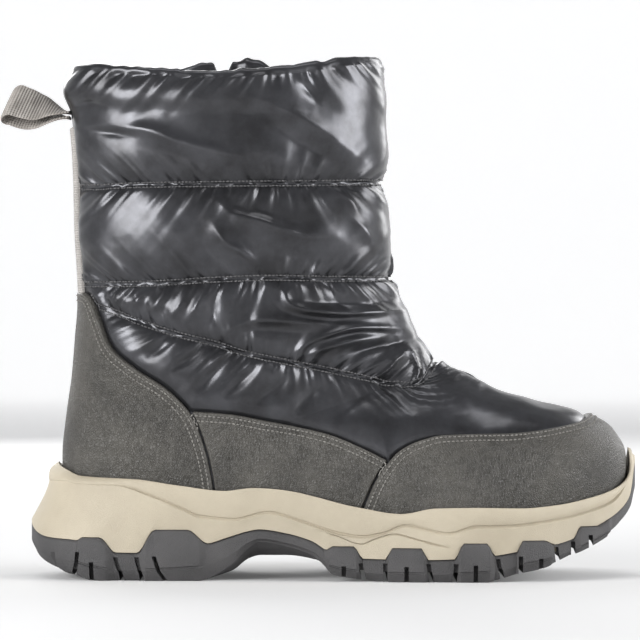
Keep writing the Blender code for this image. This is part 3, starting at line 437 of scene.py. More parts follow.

# %% [markdown]
# ## Seams, folds and padding
# The nylon is glossy, so it is its folds that are seen. Real quilting is padding held down along seams:
# the cloth stands up between them, and it is gathered at the seams, which throws short slanting puckers. Long
# folds start where the ankle bends. A folded cloth could be found by simulation alone, but the main folds
# of this boot have to lie where they are seen, so they are drawn as lines in the side view, and
# only the small puckers come from seeded noise.

# %% Lines in the side view
LINE_STEPS = 90
EDGE_STEPS = 160
FAR = 9.0
SLOPE_LIMITS = (0.35, 3.0)


def seen(points):
    """Side view place of points as the camera sees them from their own side of the boot."""
    nearer = CAMERA_AWAY / (CAMERA_AWAY - np.abs(points[..., 1]))
    return (AIM_X + (points[..., 0] - AIM_X) * nearer, AIM_Z + (points[..., 2] - AIM_Z) * nearer)


def side_line(shares, count=LINE_STEPS):
    """A smooth line through (along, high) shares, as points in metres."""
    points = np.array([(UPPER_BACK + UPPER_LENGTH * a, BOOT_HEIGHT * h) for a, h in shares])
    run = np.concatenate(([0], np.cumsum(np.linalg.norm(np.diff(points, axis=0), axis=1))))
    places = np.linspace(0, run[-1], count)
    return np.stack([smooth(run, points[:, 0], places), smooth(run, points[:, 1], places)], axis=1)


def edge_line(edge):
    """A smooth line through a leather edge's rows."""
    shares = []
    for p in edge:
        low = float(bed_height(p.along))
        shares.append((p.along, (low + p.rise * (BOOT_HEIGHT - low)) / BOOT_HEIGHT))
    return side_line(shares, EDGE_STEPS)


def from_line(x, z, line):
    """Signed distance to a line, above it positive when it runs to the right, and the run along it."""
    best = np.full(x.shape, FAR)
    side = np.ones(x.shape)
    place = np.zeros(x.shape)
    run = 0.0
    for (ax, az), (bx, bz) in zip(line, line[1:]):
        length = math.hypot(bx - ax, bz - az)
        ux, uz = (bx - ax) / length, (bz - az) / length
        t = np.clip((x - ax) * ux + (z - az) * uz, 0, length)
        distance = np.hypot(x - ax - t * ux, z - az - t * uz)
        nearer = distance < best
        best = np.where(nearer, distance, best)
        side = np.where(nearer, np.sign(ux * (z - az) - uz * (x - ax)), side)
        place = np.where(nearer, run + t, place)
        run += length
    return best * np.where(side == 0, 1, side), place, run


SEEN_X, SEEN_Z = seen(SKIN)
TRUE_X, TRUE_Z = SKIN[..., 0], SKIN[..., 2]
INNER = SKIN[..., 1] > 0
ALONG = (SEEN_X - UPPER_BACK) / UPPER_LENGTH


def true_distance(field):
    """A field's distance along the surface: the field divided by how fast it changes there."""
    pu, pv = np.gradient(SKIN, axis=0), np.gradient(SKIN, axis=1)
    fu, fv = np.gradient(field, axis=0), np.gradient(field, axis=1)
    e, g, f = (pu * pu).sum(2), (pv * pv).sum(2), (pu * pv).sum(2)
    slope = (fu * fu * g - 2 * fu * fv * f + fv * fv * e) / np.maximum(e * g - f * f, 1e-20)
    return field / np.clip(np.sqrt(np.maximum(slope, 0)), *SLOPE_LIMITS)


print("side view lines ready")

# %% Quilting seams
SEAMS = [
    [(-0.05, 0.762), (0.04, 0.762), (0.10, 0.766), (0.20, 0.769), (0.35, 0.771), (0.57, 0.771),
     (0.65, 0.771)],
    [(-0.05, 0.571), (0.044, 0.571), (0.13, 0.572), (0.20, 0.576), (0.26, 0.580), (0.37, 0.584),
     (0.49, 0.582), (0.57, 0.582), (0.68, 0.582)],
    [(0.00, 0.545), (0.073, 0.520), (0.147, 0.489), (0.209, 0.469), (0.263, 0.455), (0.321, 0.435),
     (0.397, 0.418), (0.464, 0.404), (0.531, 0.389), (0.584, 0.377), (0.620, 0.376), (0.646, 0.389),
     (0.662, 0.420), (0.668, 0.450)],
]


def seam_fields():
    """Distance along the surface from each quilting seam, and the place along it."""
    fields = []
    for line in SEAMS:
        distance, place, _ = from_line(SEEN_X, SEEN_Z, side_line(line))
        fields.append((true_distance(distance), place))
    return fields


SEAM_FIELDS = seam_fields()
print("seams", len(SEAMS))

# %% Folds
Fold = namedtuple("Fold", "name line height width")
FOLDS = [
    Fold("middle crest", [(0.267, 0.743), (0.298, 0.709), (0.343, 0.697), (0.388, 0.679), (0.437, 0.665),
                          (0.480, 0.668)], 1.5, 2.6),
    Fold("middle hollow", [(0.281, 0.755), (0.307, 0.722), (0.352, 0.712), (0.414, 0.694),
                           (0.479, 0.695)], -1.0, 4.0),
    Fold("lower crest", [(0.263, 0.689), (0.285, 0.655), (0.316, 0.636), (0.339, 0.612),
                         (0.342, 0.593)], 1.5, 2.2),
    Fold("lower hollow", [(0.238, 0.684), (0.247, 0.646), (0.281, 0.614), (0.307, 0.593)], -1.2, 4.0),
    Fold("right hollow", [(0.365, 0.650), (0.40, 0.630), (0.45, 0.622), (0.50, 0.632)], -1.2, 5.0),
    Fold("front fan one", [(0.477, 0.760), (0.504, 0.733), (0.520, 0.699)], 1.0, 2.0),
    Fold("front fan two", [(0.508, 0.700), (0.530, 0.670), (0.544, 0.641)], 1.0, 2.2),
    Fold("swirl", [(0.361, 0.568), (0.388, 0.559), (0.397, 0.534), (0.441, 0.520), (0.499, 0.515),
                   (0.600, 0.516)], 1.9, 1.7),
    Fold("swirl hollow", [(0.359, 0.549), (0.379, 0.523), (0.423, 0.508), (0.486, 0.503),
                          (0.560, 0.503)], -1.1, 2.4),
    Fold("ankle hollow", [(0.405, 0.540), (0.464, 0.535), (0.530, 0.534), (0.590, 0.539)], -1.4, 3.0),
    Fold("ankle arc", [(0.281, 0.472), (0.307, 0.491), (0.352, 0.503), (0.419, 0.498),
                       (0.500, 0.490)], 1.2, 2.2),
    Fold("arc hollow", [(0.300, 0.465), (0.340, 0.483), (0.400, 0.480), (0.440, 0.476)], -1.2, 3.0),
    Fold("lens top", [(0.397, 0.428), (0.423, 0.450), (0.468, 0.473), (0.522, 0.485),
                      (0.595, 0.481)], 1.7, 1.8),
    Fold("lens hollow", [(0.440, 0.450), (0.490, 0.470), (0.540, 0.476), (0.590, 0.473)], -1.0, 1.8),
    Fold("lens bottom", [(0.410, 0.423), (0.455, 0.443), (0.508, 0.459), (0.565, 0.466)], 1.2, 1.8),
    Fold("shin hollow", [(0.470, 0.428), (0.553, 0.447), (0.613, 0.461), (0.650, 0.475)], -1.4, 2.6),
    Fold("shin crest", [(0.530, 0.410), (0.580, 0.420), (0.640, 0.440)], 0.9, 3.4),
    Fold("left one", [(0.254, 0.572), (0.236, 0.534), (0.209, 0.491)], 1.3, 2.2),
    Fold("left two", [(0.218, 0.566), (0.200, 0.525), (0.178, 0.496)], 1.1, 1.8),
    Fold("left three", [(0.183, 0.566), (0.165, 0.534), (0.151, 0.515)], 1.1, 1.6),
    Fold("left four", [(0.140, 0.560), (0.128, 0.540), (0.118, 0.525)], 0.9, 1.5),
    Fold("left hollow", [(0.270, 0.560), (0.262, 0.520), (0.250, 0.478)], -1.3, 2.6),
    Fold("below one", [(0.191, 0.460), (0.165, 0.443), (0.142, 0.423)], -0.9, 2.0),
    Fold("below two", [(0.245, 0.447), (0.218, 0.423), (0.185, 0.400)], -1.2, 2.2),
    Fold("below three", [(0.290, 0.423), (0.258, 0.389), (0.235, 0.355)], -1.3, 2.4),
    Fold("below four", [(0.345, 0.412), (0.312, 0.380), (0.280, 0.345)], -1.2, 2.4),
    Fold("below five", [(0.400, 0.390), (0.365, 0.360), (0.335, 0.330)], -1.1, 2.8),
    Fold("below six", [(0.470, 0.380), (0.430, 0.345), (0.400, 0.300)], -1.0, 3.2),
    Fold("below seven", [(0.560, 0.365), (0.515, 0.330), (0.480, 0.290)], -0.9, 4.0),
    Fold("roll fold", [(0.003, 0.922), (0.040, 0.930), (0.075, 0.928)], -1.3, 2.2),
    Fold("top hollow", [(0.030, 0.878), (0.080, 0.872), (0.130, 0.866)], -1.6, 2.4),
    Fold("top crest", [(0.012, 0.874), (0.057, 0.880), (0.130, 0.880), (0.200, 0.855), (0.310, 0.815),
                       (0.305, 0.790)], 1.6, 3.4),
    Fold("top hollow two", [(0.130, 0.845), (0.200, 0.830), (0.260, 0.800)], -1.0, 4.5),
    Fold("front long", [(0.330, 0.950), (0.400, 0.915), (0.470, 0.860), (0.545, 0.800)], 1.0, 4.0),
    Fold("front long hollow", [(0.350, 0.900), (0.420, 0.850), (0.500, 0.800)], -1.3, 5.0),
    Fold("collar dart", [(0.415, 0.985), (0.440, 0.950), (0.450, 0.930)], -1.0, 2.0),
    Fold("vamp sheen", [(0.500, 0.300), (0.600, 0.300), (0.700, 0.318), (0.800, 0.312)], 0.5, 7.0),
]
print("folds", len(FOLDS))

# %% Relief of the drawn folds
FOLD_GAIN = 1.9
FOLD_STEPS = 24
CREST_ROUND = 0.35
INNER_SHARE = 0.75


def cusp(distance, width):
    """A crease's profile: 1 at the line, falling away on both sides, just rounded at the top."""
    round_off = CREST_ROUND * width
    return np.exp(-(np.sqrt(distance ** 2 + round_off ** 2) - round_off) / width)


def drawn_folds():
    """Height of all drawn folds on the net; the inner side repeats them lower."""
    total = np.zeros(SEEN_X.shape)
    for fold in FOLDS:
        distance, place, run = from_line(SEEN_X, SEEN_Z, side_line(fold.line, FOLD_STEPS))
        taper = ease(0.25 + 1.5 * np.minimum(place, run - place) / run)
        total += FOLD_GAIN * fold.height * MM * cusp(distance, fold.width * MM) * taper
    return total * np.where(INNER, INNER_SHARE, 1.0)


FOLD_RELIEF = drawn_folds()
print("folds from", round(FOLD_RELIEF.min() / MM, 1), "to", round(FOLD_RELIEF.max() / MM, 1), "mm")

# %% Gathers at a seam
PUCKER_GAIN = 2.0
PUCKER_START = 0.9
OTHER_SIDE = 7
WAVE_KNOTS = 400
WAVE_MIDDLE = 150
LEAN_PLACES = [0.05, 0.30, 0.40, 0.55]
LEANS = [0.9, 0.5, -0.1, -0.9]

Gather = namedtuple("Gather", "share length fade")
GATHERS = [Gather(0.75, 1.7, 4.5), Gather(0.85, 3.4, 8.0), Gather(0.70, 11.0, 16.0)]


def wave(places, length, seed):
    """Smooth seeded noise between -1 and 1 along a line, with bumps about length apart."""
    knots = np.random.RandomState(seed).uniform(-1, 1, WAVE_KNOTS)
    t = places / length + WAVE_MIDDLE
    i = np.clip(np.floor(t).astype(int), 0, WAVE_KNOTS - 2)
    return knots[i] + (knots[i + 1] - knots[i]) * ease(t - i)


def puckers(distance, place, seed):
    """Gathers that leave a seam slantwise and fade away from it, other ones on each side of it."""
    away = np.abs(distance)
    slanted = place + np.interp(ALONG, LEAN_PLACES, LEANS) * away
    start = 1 - np.exp(-away / (PUCKER_START * MM))
    total = np.zeros(distance.shape)
    for side in (0, 1):
        number = seed + OTHER_SIDE * side
        rows = sum(gather.share * wave(slanted, gather.length * MM, number + i)
                   * np.exp(-away / (gather.fade * MM)) for i, gather in enumerate(GATHERS))
        total += np.where((distance > 0) == (side == 0), rows * start, 0)
    return PUCKER_GAIN * total * MM


print("gathers of", len(GATHERS), "sizes")

# %% Leather edges
Edge = namedtuple("Edge", "along rise")
COUNTER_EDGE = [
    Edge(-0.040, 0.486), Edge(0.020, 0.481), Edge(0.042, 0.471), Edge(0.062, 0.423), Edge(0.084, 0.360),
    Edge(0.129, 0.313), Edge(0.187, 0.269), Edge(0.231, 0.210), Edge(0.260, 0.104), Edge(0.272, 0.010),
]
PANEL_EDGE = [
    Edge(0.180, 0.226), Edge(0.292, 0.226), Edge(0.365, 0.218), Edge(0.419, 0.211), Edge(0.473, 0.199),
    Edge(0.528, 0.176), Edge(0.600, 0.135),
]
CAP_EDGE = [
    Edge(0.520, 0.010), Edge(0.533, 0.050), Edge(0.553, 0.106), Edge(0.573, 0.142), Edge(0.596, 0.171),
    Edge(0.631, 0.191), Edge(0.674, 0.202), Edge(0.792, 0.200), Edge(0.903, 0.198), Edge(0.937, 0.207),
    Edge(0.950, 0.250),
]
print("leather edges", len(COUNTER_EDGE) + len(PANEL_EDGE) + len(CAP_EDGE), "places")

# %% Where each sewn piece lies
OUTSIDE = -0.05
BACK_REACH = 0.02


def edge_field(edge):
    """Distance inside a leather edge, along the surface."""
    return true_distance(-from_line(TRUE_X, TRUE_Z, edge_line(edge))[0])


COUNTER, CAP, BELOW_PANEL = edge_field(COUNTER_EDGE), edge_field(CAP_EDGE), edge_field(PANEL_EDGE)
PANEL_FIELD = np.minimum(BELOW_PANEL, np.minimum(-COUNTER, -CAP) - 2 * GAP)
ZIP_FIELD = np.minimum(TAPE_WIDTH / 2 - np.abs(TRUE_X - ZIP_X), TRUE_Z - ZIP_FOOT)
ZIP_FIELD = np.where(INNER, ZIP_FIELD, OUTSIDE)
STAY_FIELD = np.where(TRUE_X < BACK_REACH, STRIP_WIDTH / 2 - np.abs(SKIN[..., 1]), OUTSIDE)
LEATHER_FIELD = np.maximum(np.maximum(COUNTER, CAP), PANEL_FIELD)
print("net points under leather", int((LEATHER_FIELD > 0).sum()))

# %% Height of the padding
PUFF = 2.7
PUFF_REACH = 6.5
SEAM_SINK = 1.9
SINK_REACH = 2.6
VAMP_START = 0.62
VAMP_RUN = 0.12
VAMP_FLATTER = 0.45
STUFFING = [(16, 0.7, 1), (8, 0.12, 2)]
SEAM_SEED = 11
SEED_STEP = 20
SIDE_SHIFT = 0.3
COLLAR_SEED = 90
COLLAR_SHARE = 0.7
COLLAR_SHIFT = 0.5
EDGE_REACH = 5
EDGE_SINK = 0.9
EDGE_SINK_REACH = 1.6
STRIP_FLATTER = 0.92
STRIP_REACH = 2.5
STAND_LIMITS = (-2.4, 5.2)


def lumps(size, height, seed):
    """Soft unevenness of the stuffing."""
    shift = Vector((seed * 3.1, seed * 1.7, seed * 2.3))
    values = [noise.noise(Vector(point) / (size * MM) + shift) for point in SKIN.reshape(-1, 3)]
    return height * MM * np.array(values).reshape(SEEN_X.shape)


def fading(distance, reach):
    """1 at a line, falling away over a reach in millimetres."""
    return np.exp(-distance / (reach * MM))


def padding_height():
    """How far the nylon stands off the skin."""
    nearest = np.min([np.abs(distance) for distance, _ in SEAM_FIELDS], axis=0)
    on_vamp = ease((ALONG - VAMP_START) / VAMP_RUN)
    puff = PUFF * MM * (1 - fading(nearest, PUFF_REACH)) - SEAM_SINK * MM * fading(nearest, SINK_REACH)
    height = puff * (1 - VAMP_FLATTER * on_vamp) + FOLD_RELIEF
    for size, rise, seed in STUFFING:
        height = height + lumps(size, rise, seed)
    for i, (distance, place) in enumerate(SEAM_FIELDS):
        height += puckers(distance, place + SIDE_SHIFT * INNER, SEAM_SEED + SEED_STEP * i)
    below_top = SKIN[0][None, :, 2] - TRUE_Z
    at_collar = puckers(np.abs(below_top) + 1e-9, TRUE_X + COLLAR_SHIFT * INNER, COLLAR_SEED)
    height += at_collar * COLLAR_SHARE
    outside = np.maximum(-LEATHER_FIELD, 0)
    height *= 1 - fading(outside, EDGE_REACH)
    height -= EDGE_SINK * MM * fading(outside, EDGE_SINK_REACH)
    for field in (ZIP_FIELD, STAY_FIELD):
        height *= 1 - STRIP_FLATTER * fading(np.maximum(-field, 0), STRIP_REACH)
    return np.clip(height, STAND_LIMITS[0] * MM, STAND_LIMITS[1] * MM)


HEIGHT = padding_height()
print("padding from", round(HEIGHT.min() / MM, 1), "to", round(HEIGHT.max() / MM, 1), "mm")

# %% The collar's edge
COLLAR_OUTER = [(0.00, 0.0), (0.10, -3.0), (0.27, -6.5), (0.42, -4.2), (0.53, 0.0), (0.60, 0.0)]
COLLAR_INNER = [(0.00, 0.0), (0.12, -2.5), (0.20, 0.5), (0.255, 4.5), (0.275, -5.0), (0.295, 4.5),
                (0.34, 4.0), (0.375, -1.0), (0.50, -1.5), (0.60, 0.0)]
PULL_REACH_OUTER = 20
PULL_REACH_INNER = 9


def collar_lift():
    """How far the shell's top edge is pulled up or down, fading below it."""
    along = (TRUE_X - UPPER_BACK) / UPPER_LENGTH
    outer = smooth(*np.array(COLLAR_OUTER).T, along)
    inner = smooth(*np.array(COLLAR_INNER).T, along)
    below_top = SKIN[0][None, :, 2] - TRUE_Z
    fade = fading(below_top, np.where(INNER, PULL_REACH_INNER, PULL_REACH_OUTER))
    return MM * np.where(INNER, inner, outer) * fade


SHELL = SKIN + NORMALS * HEIGHT[..., None]
SHELL[..., 2] += collar_lift()
print("collar from", round(SHELL[0, :, 2].min(), 4), "to", round(SHELL[0, :, 2].max(), 4))

# %% [markdown]
# ## Finishes
# Every finish is procedural: noise at two or three scales gives mottled colour, grain and dirt, and its
# height feeds a bump. Effects that several finishes use are node groups. They read Object coordinates, which
# are metres here, so a grain of half a millimetre is a size in metres too. Only the loop turns in space, so
# its weave follows a UV map along the strip instead.

# %% Helpers for shader nodes
def put(tree, kind, *inputs, **options):
    """Add a node: plain inputs fill its sockets in order, options are settings or sockets by name."""
    made = tree.nodes.new("ShaderNode" + kind)
    for name, value in options.items():
        if hasattr(made, name):
            setattr(made, name, value)
    sockets = list(enumerate(inputs))
    sockets += [(name.replace("_", " "), value) for name, value in options.items() if not hasattr(made, name)]
    for name, value in sockets:
        if isinstance(value, bpy.types.NodeSocket):
            tree.links.new(value, made.inputs[name])
        else:
            made.inputs[name].default_value = value
    return made


def shader_group(name, inputs, output):
    """A node group with named inputs and one output; returns the tree, its inputs and its output."""
    tree = bpy.data.node_groups.new(name, "ShaderNodeTree")
    for label, kind, value in inputs:
        socket = tree.interface.new_socket(label, in_out="INPUT", socket_type="NodeSocket" + kind)
        if value is not None:
            socket.default_value = value
    tree.interface.new_socket(output, in_out="OUTPUT", socket_type="NodeSocketFloat")
    return tree, tree.nodes.new("NodeGroupInput").outputs, tree.nodes.new("NodeGroupOutput").inputs[0]


def use(tree, group, **inputs):
    """Place a group in a material and return its output."""
    placed = put(tree, "Group", node_tree=group, **inputs)
    return placed.outputs[0]


def calc(tree, operation, one, two=0.0):
    """A Math node's result."""
    return put(tree, "Math", one, two, operation=operation).outputs[0]


def mix(tree, share, one, two):
    """Blend of two colours."""
    node = put(tree, "Mix", share, data_type="RGBA")
    for place, value in ((6, one), (7, two)):
        if isinstance(value, bpy.types.NodeSocket):
            tree.links.new(value, node.inputs[place])
        else:
            node.inputs[place].default_value = (*value, 1)
    return node.outputs[2]


def spread(tree, value, low, high, start=0.0, end=1.0):
    """A value stretched from low..high to start..end."""
    return put(tree, "MapRange", value, low, high, start, end).outputs[0]


print("shader helpers ready")

# %% Groups for mottling, grain and ribs
def mottle_group():
    """Soft blotches between 0 and 1, Size metres apart."""
    tree, inside, out = shader_group("mottle", [("Vector", "Vector", None), ("Size", "Float", 0.02),
                                                ("Low", "Float", 0.35), ("High", "Float", 0.65)], "Mask")
    scale = calc(tree, "DIVIDE", 1.0, inside["Size"])
    blotches = put(tree, "TexNoise", Vector=inside["Vector"], Scale=scale, Detail=5.0, Roughness=0.6)
    tree.links.new(spread(tree, blotches.outputs[0], inside["Low"], inside["High"]), out)
    return tree


def grain_group():
    """Pebbled cells with fine noise on them, Size metres apart."""
    tree, inside, out = shader_group("grain", [("Vector", "Vector", None), ("Size", "Float", 0.001)],
                                     "Height")
    scale = calc(tree, "DIVIDE", 1.0, inside["Size"])
    cells = put(tree, "TexVoronoi", Vector=inside["Vector"], Scale=scale, feature="DISTANCE_TO_EDGE")
    specks = put(tree, "TexNoise", Vector=inside["Vector"], Scale=scale, Detail=4.0)
    rounded = spread(tree, cells.outputs["Distance"], 0.0, 0.25)
    tree.links.new(calc(tree, "ADD", rounded, specks.outputs[0]), out)
    return tree


def rib_group():
    """Woven ribs across one direction, Pitch metres apart, broken up along the other."""
    tree, inside, out = shader_group("ribs", [("Along", "Float", 0.0), ("Across", "Float", 0.0),
                                              ("Pitch", "Float", 0.0015)], "Height")
    turn = calc(tree, "DIVIDE", 2 * math.pi, inside["Pitch"])
    rib = calc(tree, "SINE", calc(tree, "MULTIPLY", inside["Along"], turn))
    cross = calc(tree, "SINE", calc(tree, "MULTIPLY", inside["Across"], turn))
    tree.links.new(spread(tree, calc(tree, "ADD", rib, calc(tree, "MULTIPLY", cross, 0.45)), -1.4, 1.4), out)
    return tree


MOTTLE, GRAIN, RIBS = mottle_group(), grain_group(), rib_group()
print("groups", MOTTLE.name, GRAIN.name, RIBS.name)

# %% Building a finish
def new_finish(name, **constants):
    """A material whose constants sit on its shader's own sockets."""
    finish = bpy.data.materials.new(name)
    finish.use_nodes = True
    tree = finish.node_tree
    shader = tree.nodes["Principled BSDF"]
    for label, value in constants.items():
        shader.inputs[label.replace("_", " ")].default_value = value
    return finish, tree, shader, put(tree, "TexCoord").outputs


def connect(tree, shader, colour=None, roughness=None, height=None, depth=0.0002):
    """Feed colour, roughness and a bump into a shader."""
    if colour is not None:
        tree.links.new(colour, shader.inputs["Base Color"])
    if roughness is not None:
        tree.links.new(roughness, shader.inputs["Roughness"])
    if height is not None:
        relief = put(tree, "Bump", Height=height, Distance=depth, Strength=1.0)
        tree.links.new(relief.outputs[0], shader.inputs["Normal"])


def simple_finish(name, dark, light, blotch, grain, depth, rough, **constants):
    """Mottled colour between dark and light, with a grain of one size."""
    finish, tree, shader, place = new_finish(name, **constants)
    mask = use(tree, MOTTLE, Vector=place["Object"], Size=blotch)
    height = use(tree, GRAIN, Vector=place["Object"], Size=grain)
    connect(tree, shader, mix(tree, mask, dark, light), spread(tree, mask, 0, 1, *rough), height, depth)
    return finish


print("finish helpers ready")

# %% Nylon and leather
def nylon_finish():
    """Glossy coated nylon: metallic sheen, tiny creases in the coating."""
    finish, tree, shader, place = new_finish("nylon", Metallic=0.80, Coat_Weight=0.20, Coat_Roughness=0.20)
    mask = use(tree, MOTTLE, Vector=place["Object"], Size=0.018)
    creases = put(tree, "TexNoise", Vector=place["Object"], Scale=160.0, Detail=1.0)
    connect(tree, shader, mix(tree, mask, (0.036, 0.036, 0.039), (0.070, 0.071, 0.078)),
            spread(tree, mask, 0, 1, 0.34, 0.28), creases.outputs[0], 0.0001)
    return finish


def leather_finish():
    """Sueded grey leather: warm mottling, small random spots of pale dust, paler along its cut edges."""
    finish, tree, shader, place = new_finish("leather")
    cloud = use(tree, MOTTLE, Vector=place["Object"], Size=0.030, Low=0.38, High=0.66)
    dust = use(tree, MOTTLE, Vector=place["Object"], Size=0.0022, Low=0.45, High=0.75)
    grain = use(tree, GRAIN, Vector=place["Object"], Size=0.0011)
    edge = put(tree, "Attribute", attribute_name="edge").outputs["Fac"]
    worn = calc(tree, "MULTIPLY", spread(tree, edge, 0.0016, 0.0004), 0.5)
    colour = mix(tree, cloud, (0.026, 0.024, 0.020), (0.058, 0.054, 0.046))
    colour = mix(tree, calc(tree, "MULTIPLY", dust, 0.34), colour, (0.138, 0.132, 0.120))
    colour = mix(tree, worn, colour, (0.105, 0.100, 0.090))
    connect(tree, shader, colour, spread(tree, dust, 0, 1, 0.44, 0.62), grain, 0.00020)
    return finish


print("nylon and leather ready to mix")

# %% Webbing
def webbing_finish(name, dark, light, along, across, pitch):
    """Ribbed weave; along and across name the coordinate that each direction follows."""
    finish, tree, shader, place = new_finish(name)
    axes = put(tree, "SeparateXYZ", place["UV" if along == "U" else "Object"]).outputs
    names = {"U": 0, "V": 1, "X": 0, "Y": 1, "Z": 2}
    height = use(tree, RIBS, Along=axes[names[along]], Across=axes[names[across]], Pitch=pitch)
    cloud = use(tree, MOTTLE, Vector=place["Object"], Size=0.006)
    # Painted shade: the colour is darker in the rib grooves and paler on the rib tops, following the rib
    # height, mixed with random mottling.
    shade = calc(tree, "MULTIPLY", calc(tree, "ADD", height, cloud), 0.5)
    connect(tree, shader, mix(tree, shade, dark, light), spread(tree, cloud, 0, 1, 0.75, 0.9), height, 0.0004)
    return finish


Weave = namedtuple("Weave", "piece name dark light along across pitch")
WEAVES = [
    Weave("strip", "strip webbing", (0.270, 0.255, 0.240), (0.440, 0.420, 0.400), "Z", "Y", 0.0011),
    Weave("loop", "loop webbing", (0.190, 0.172, 0.155), (0.400, 0.372, 0.345), "U", "V", 0.0013),
    Weave("tape", "zip tape", (0.018, 0.018, 0.020), (0.045, 0.045, 0.049), "Z", "X", 0.0010),
]
print("weaves", len(WEAVES))

# %% All finishes
Mottled = namedtuple("Mottled", "name dark light blotch grain depth rough metallic")
MOTTLED = [
    Mottled("thread", (0.130, 0.124, 0.114), (0.240, 0.230, 0.212), 0.002, 0.0004, 0.0001, (0.6, 0.8), 0.0),
    Mottled("dark thread", (0.050, 0.050, 0.054), (0.130, 0.128, 0.130), 0.002, 0.0004, 0.0001,
            (0.35, 0.5), 0.0),
    Mottled("coil", (0.035, 0.035, 0.038), (0.070, 0.070, 0.074), 0.003, 0.0006, 0.00008, (0.35, 0.5), 0.0),
    Mottled("metal", (0.200, 0.200, 0.210), (0.330, 0.330, 0.340), 0.004, 0.0005, 0.00005,
            (0.28, 0.42), 1.0),
    Mottled("felt", (0.020, 0.020, 0.022), (0.060, 0.060, 0.064), 0.004, 0.0008, 0.0005, (0.9, 1.0), 0.0),
    Mottled("foam", (0.360, 0.315, 0.236), (0.435, 0.385, 0.295), 0.045, 0.0007, 0.00006,
            (0.50, 0.66), 0.0),
    Mottled("rubber", (0.034, 0.033, 0.034), (0.066, 0.064, 0.065), 0.030, 0.0009, 0.00010,
            (0.55, 0.75), 0.0),
]

FINISHES = {"nylon": nylon_finish(), "leather": leather_finish()}
for weave in WEAVES:
    FINISHES[weave.piece] = webbing_finish(*weave[1:])
for row in MOTTLED:
    FINISHES[row.name] = simple_finish(*row[:-1], Metallic=row.metallic)
print("finishes", ", ".join(FINISHES))

# %% [markdown]
# ## The quilted shell
# The shell is one closed body: the padded outside, a rolled collar edge, the lining inside, and a narrow
# strip under the foot that joins them, out of sight in the sole. The lining is coarser than the outside.

# %% Helpers that turn nets into pieces
def make_piece(name, points, faces, finish, merge=0.0, spots=None, edge=None):
    """A mesh object from points and faces; spots are UV places for each face corner."""
    data = bpy.data.meshes.new(name)
    data.from_pydata(np.asarray(points).tolist(), [], [list(map(int, face)) for face in faces])
    if spots is not None:
        layer = data.uv_layers.new(name="cloth")
        layer.uv.foreach_set("vector", np.asarray(spots, np.float32).ravel())
    if edge is not None:
        data.attributes.new("edge", "FLOAT", "POINT").data.foreach_set("value", np.asarray(edge, np.float32))
    mesh = bmesh.new()
    mesh.from_mesh(data)
    bmesh.ops.delete(mesh, geom=[v for v in mesh.verts if not v.link_faces], context="VERTS")
    bmesh.ops.remove_doubles(mesh, verts=mesh.verts, dist=merge)
    bmesh.ops.recalc_face_normals(mesh, faces=mesh.faces)
    mesh.to_mesh(data)
    mesh.free()
    data.shade_smooth()
    data.materials.append(FINISHES[finish])
    piece = bpy.data.objects.new(name, data)
    bpy.context.scene.collection.objects.link(piece)
    return piece


def dress(piece, slot, *nodes, body="boot"):
    """Let a piece ride on its body and stand for plain solids; the slot is not used."""
    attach(piece, body)
    if nodes:
        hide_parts(*nodes)
    print(piece.name, len(piece.data.polygons), "faces")


def grid_faces(index):
    """Quads between the rows of an array of point numbers."""
    return np.stack((index[:-1, :-1], index[:-1, 1:], index[1:, 1:], index[1:, :-1]), -1).reshape(-1, 4)


def join_lines(fine, coarse, step):
    """Faces between two lines of point numbers, where the coarse one skips points."""
    return [[*fine[a * step:a * step + step + 1], coarse[a + 1], coarse[a]] for a in range(len(coarse) - 1)]


print("mesh helpers ready")

# %% Shell with lining
ROLL_STEPS = 6
LINING_STEP = 2
LINING_WAVE = 0.8
LINING_FADE = 14
ROLL_WAVE = 0.15
ROLL_WAVE_LENGTH = 3.2
ROLL_SEED = 5


def lining_net():
    """The inside of the shell, soft and a little wavy near the collar."""
    below_top = SKIN[0][None, :, 2] - TRUE_Z
    ripple = np.sin(TRUE_X / (3.1 * MM) + 2 * np.sin(TRUE_X / (7 * MM)))
    lining = SKIN - NORMALS * (WALL - LINING_WAVE * MM * fading(below_top, LINING_FADE) * ripple)[..., None]
    lining[..., 2] += collar_lift()
    return lining


def collar_roll(outer_edge, inner_edge):
    """Rows that carry the shell's edge over to the lining's."""
    middle, half = (outer_edge + inner_edge) / 2, (outer_edge - inner_edge) / 2
    uneven = wave(outer_edge[:, 0] + 0.4 * outer_edge[:, 1], ROLL_WAVE_LENGTH * MM, ROLL_SEED)
    lift = np.linalg.norm(half, axis=1) * (1.0 + ROLL_WAVE * uneven)
    upwards = np.stack((0 * lift, 0 * lift, lift), 1)
    angles = [math.pi * i / (ROLL_STEPS + 1) for i in range(1, ROLL_STEPS + 1)]
    return np.array([middle + half * math.cos(angle) + upwards * math.sin(angle) for angle in angles])


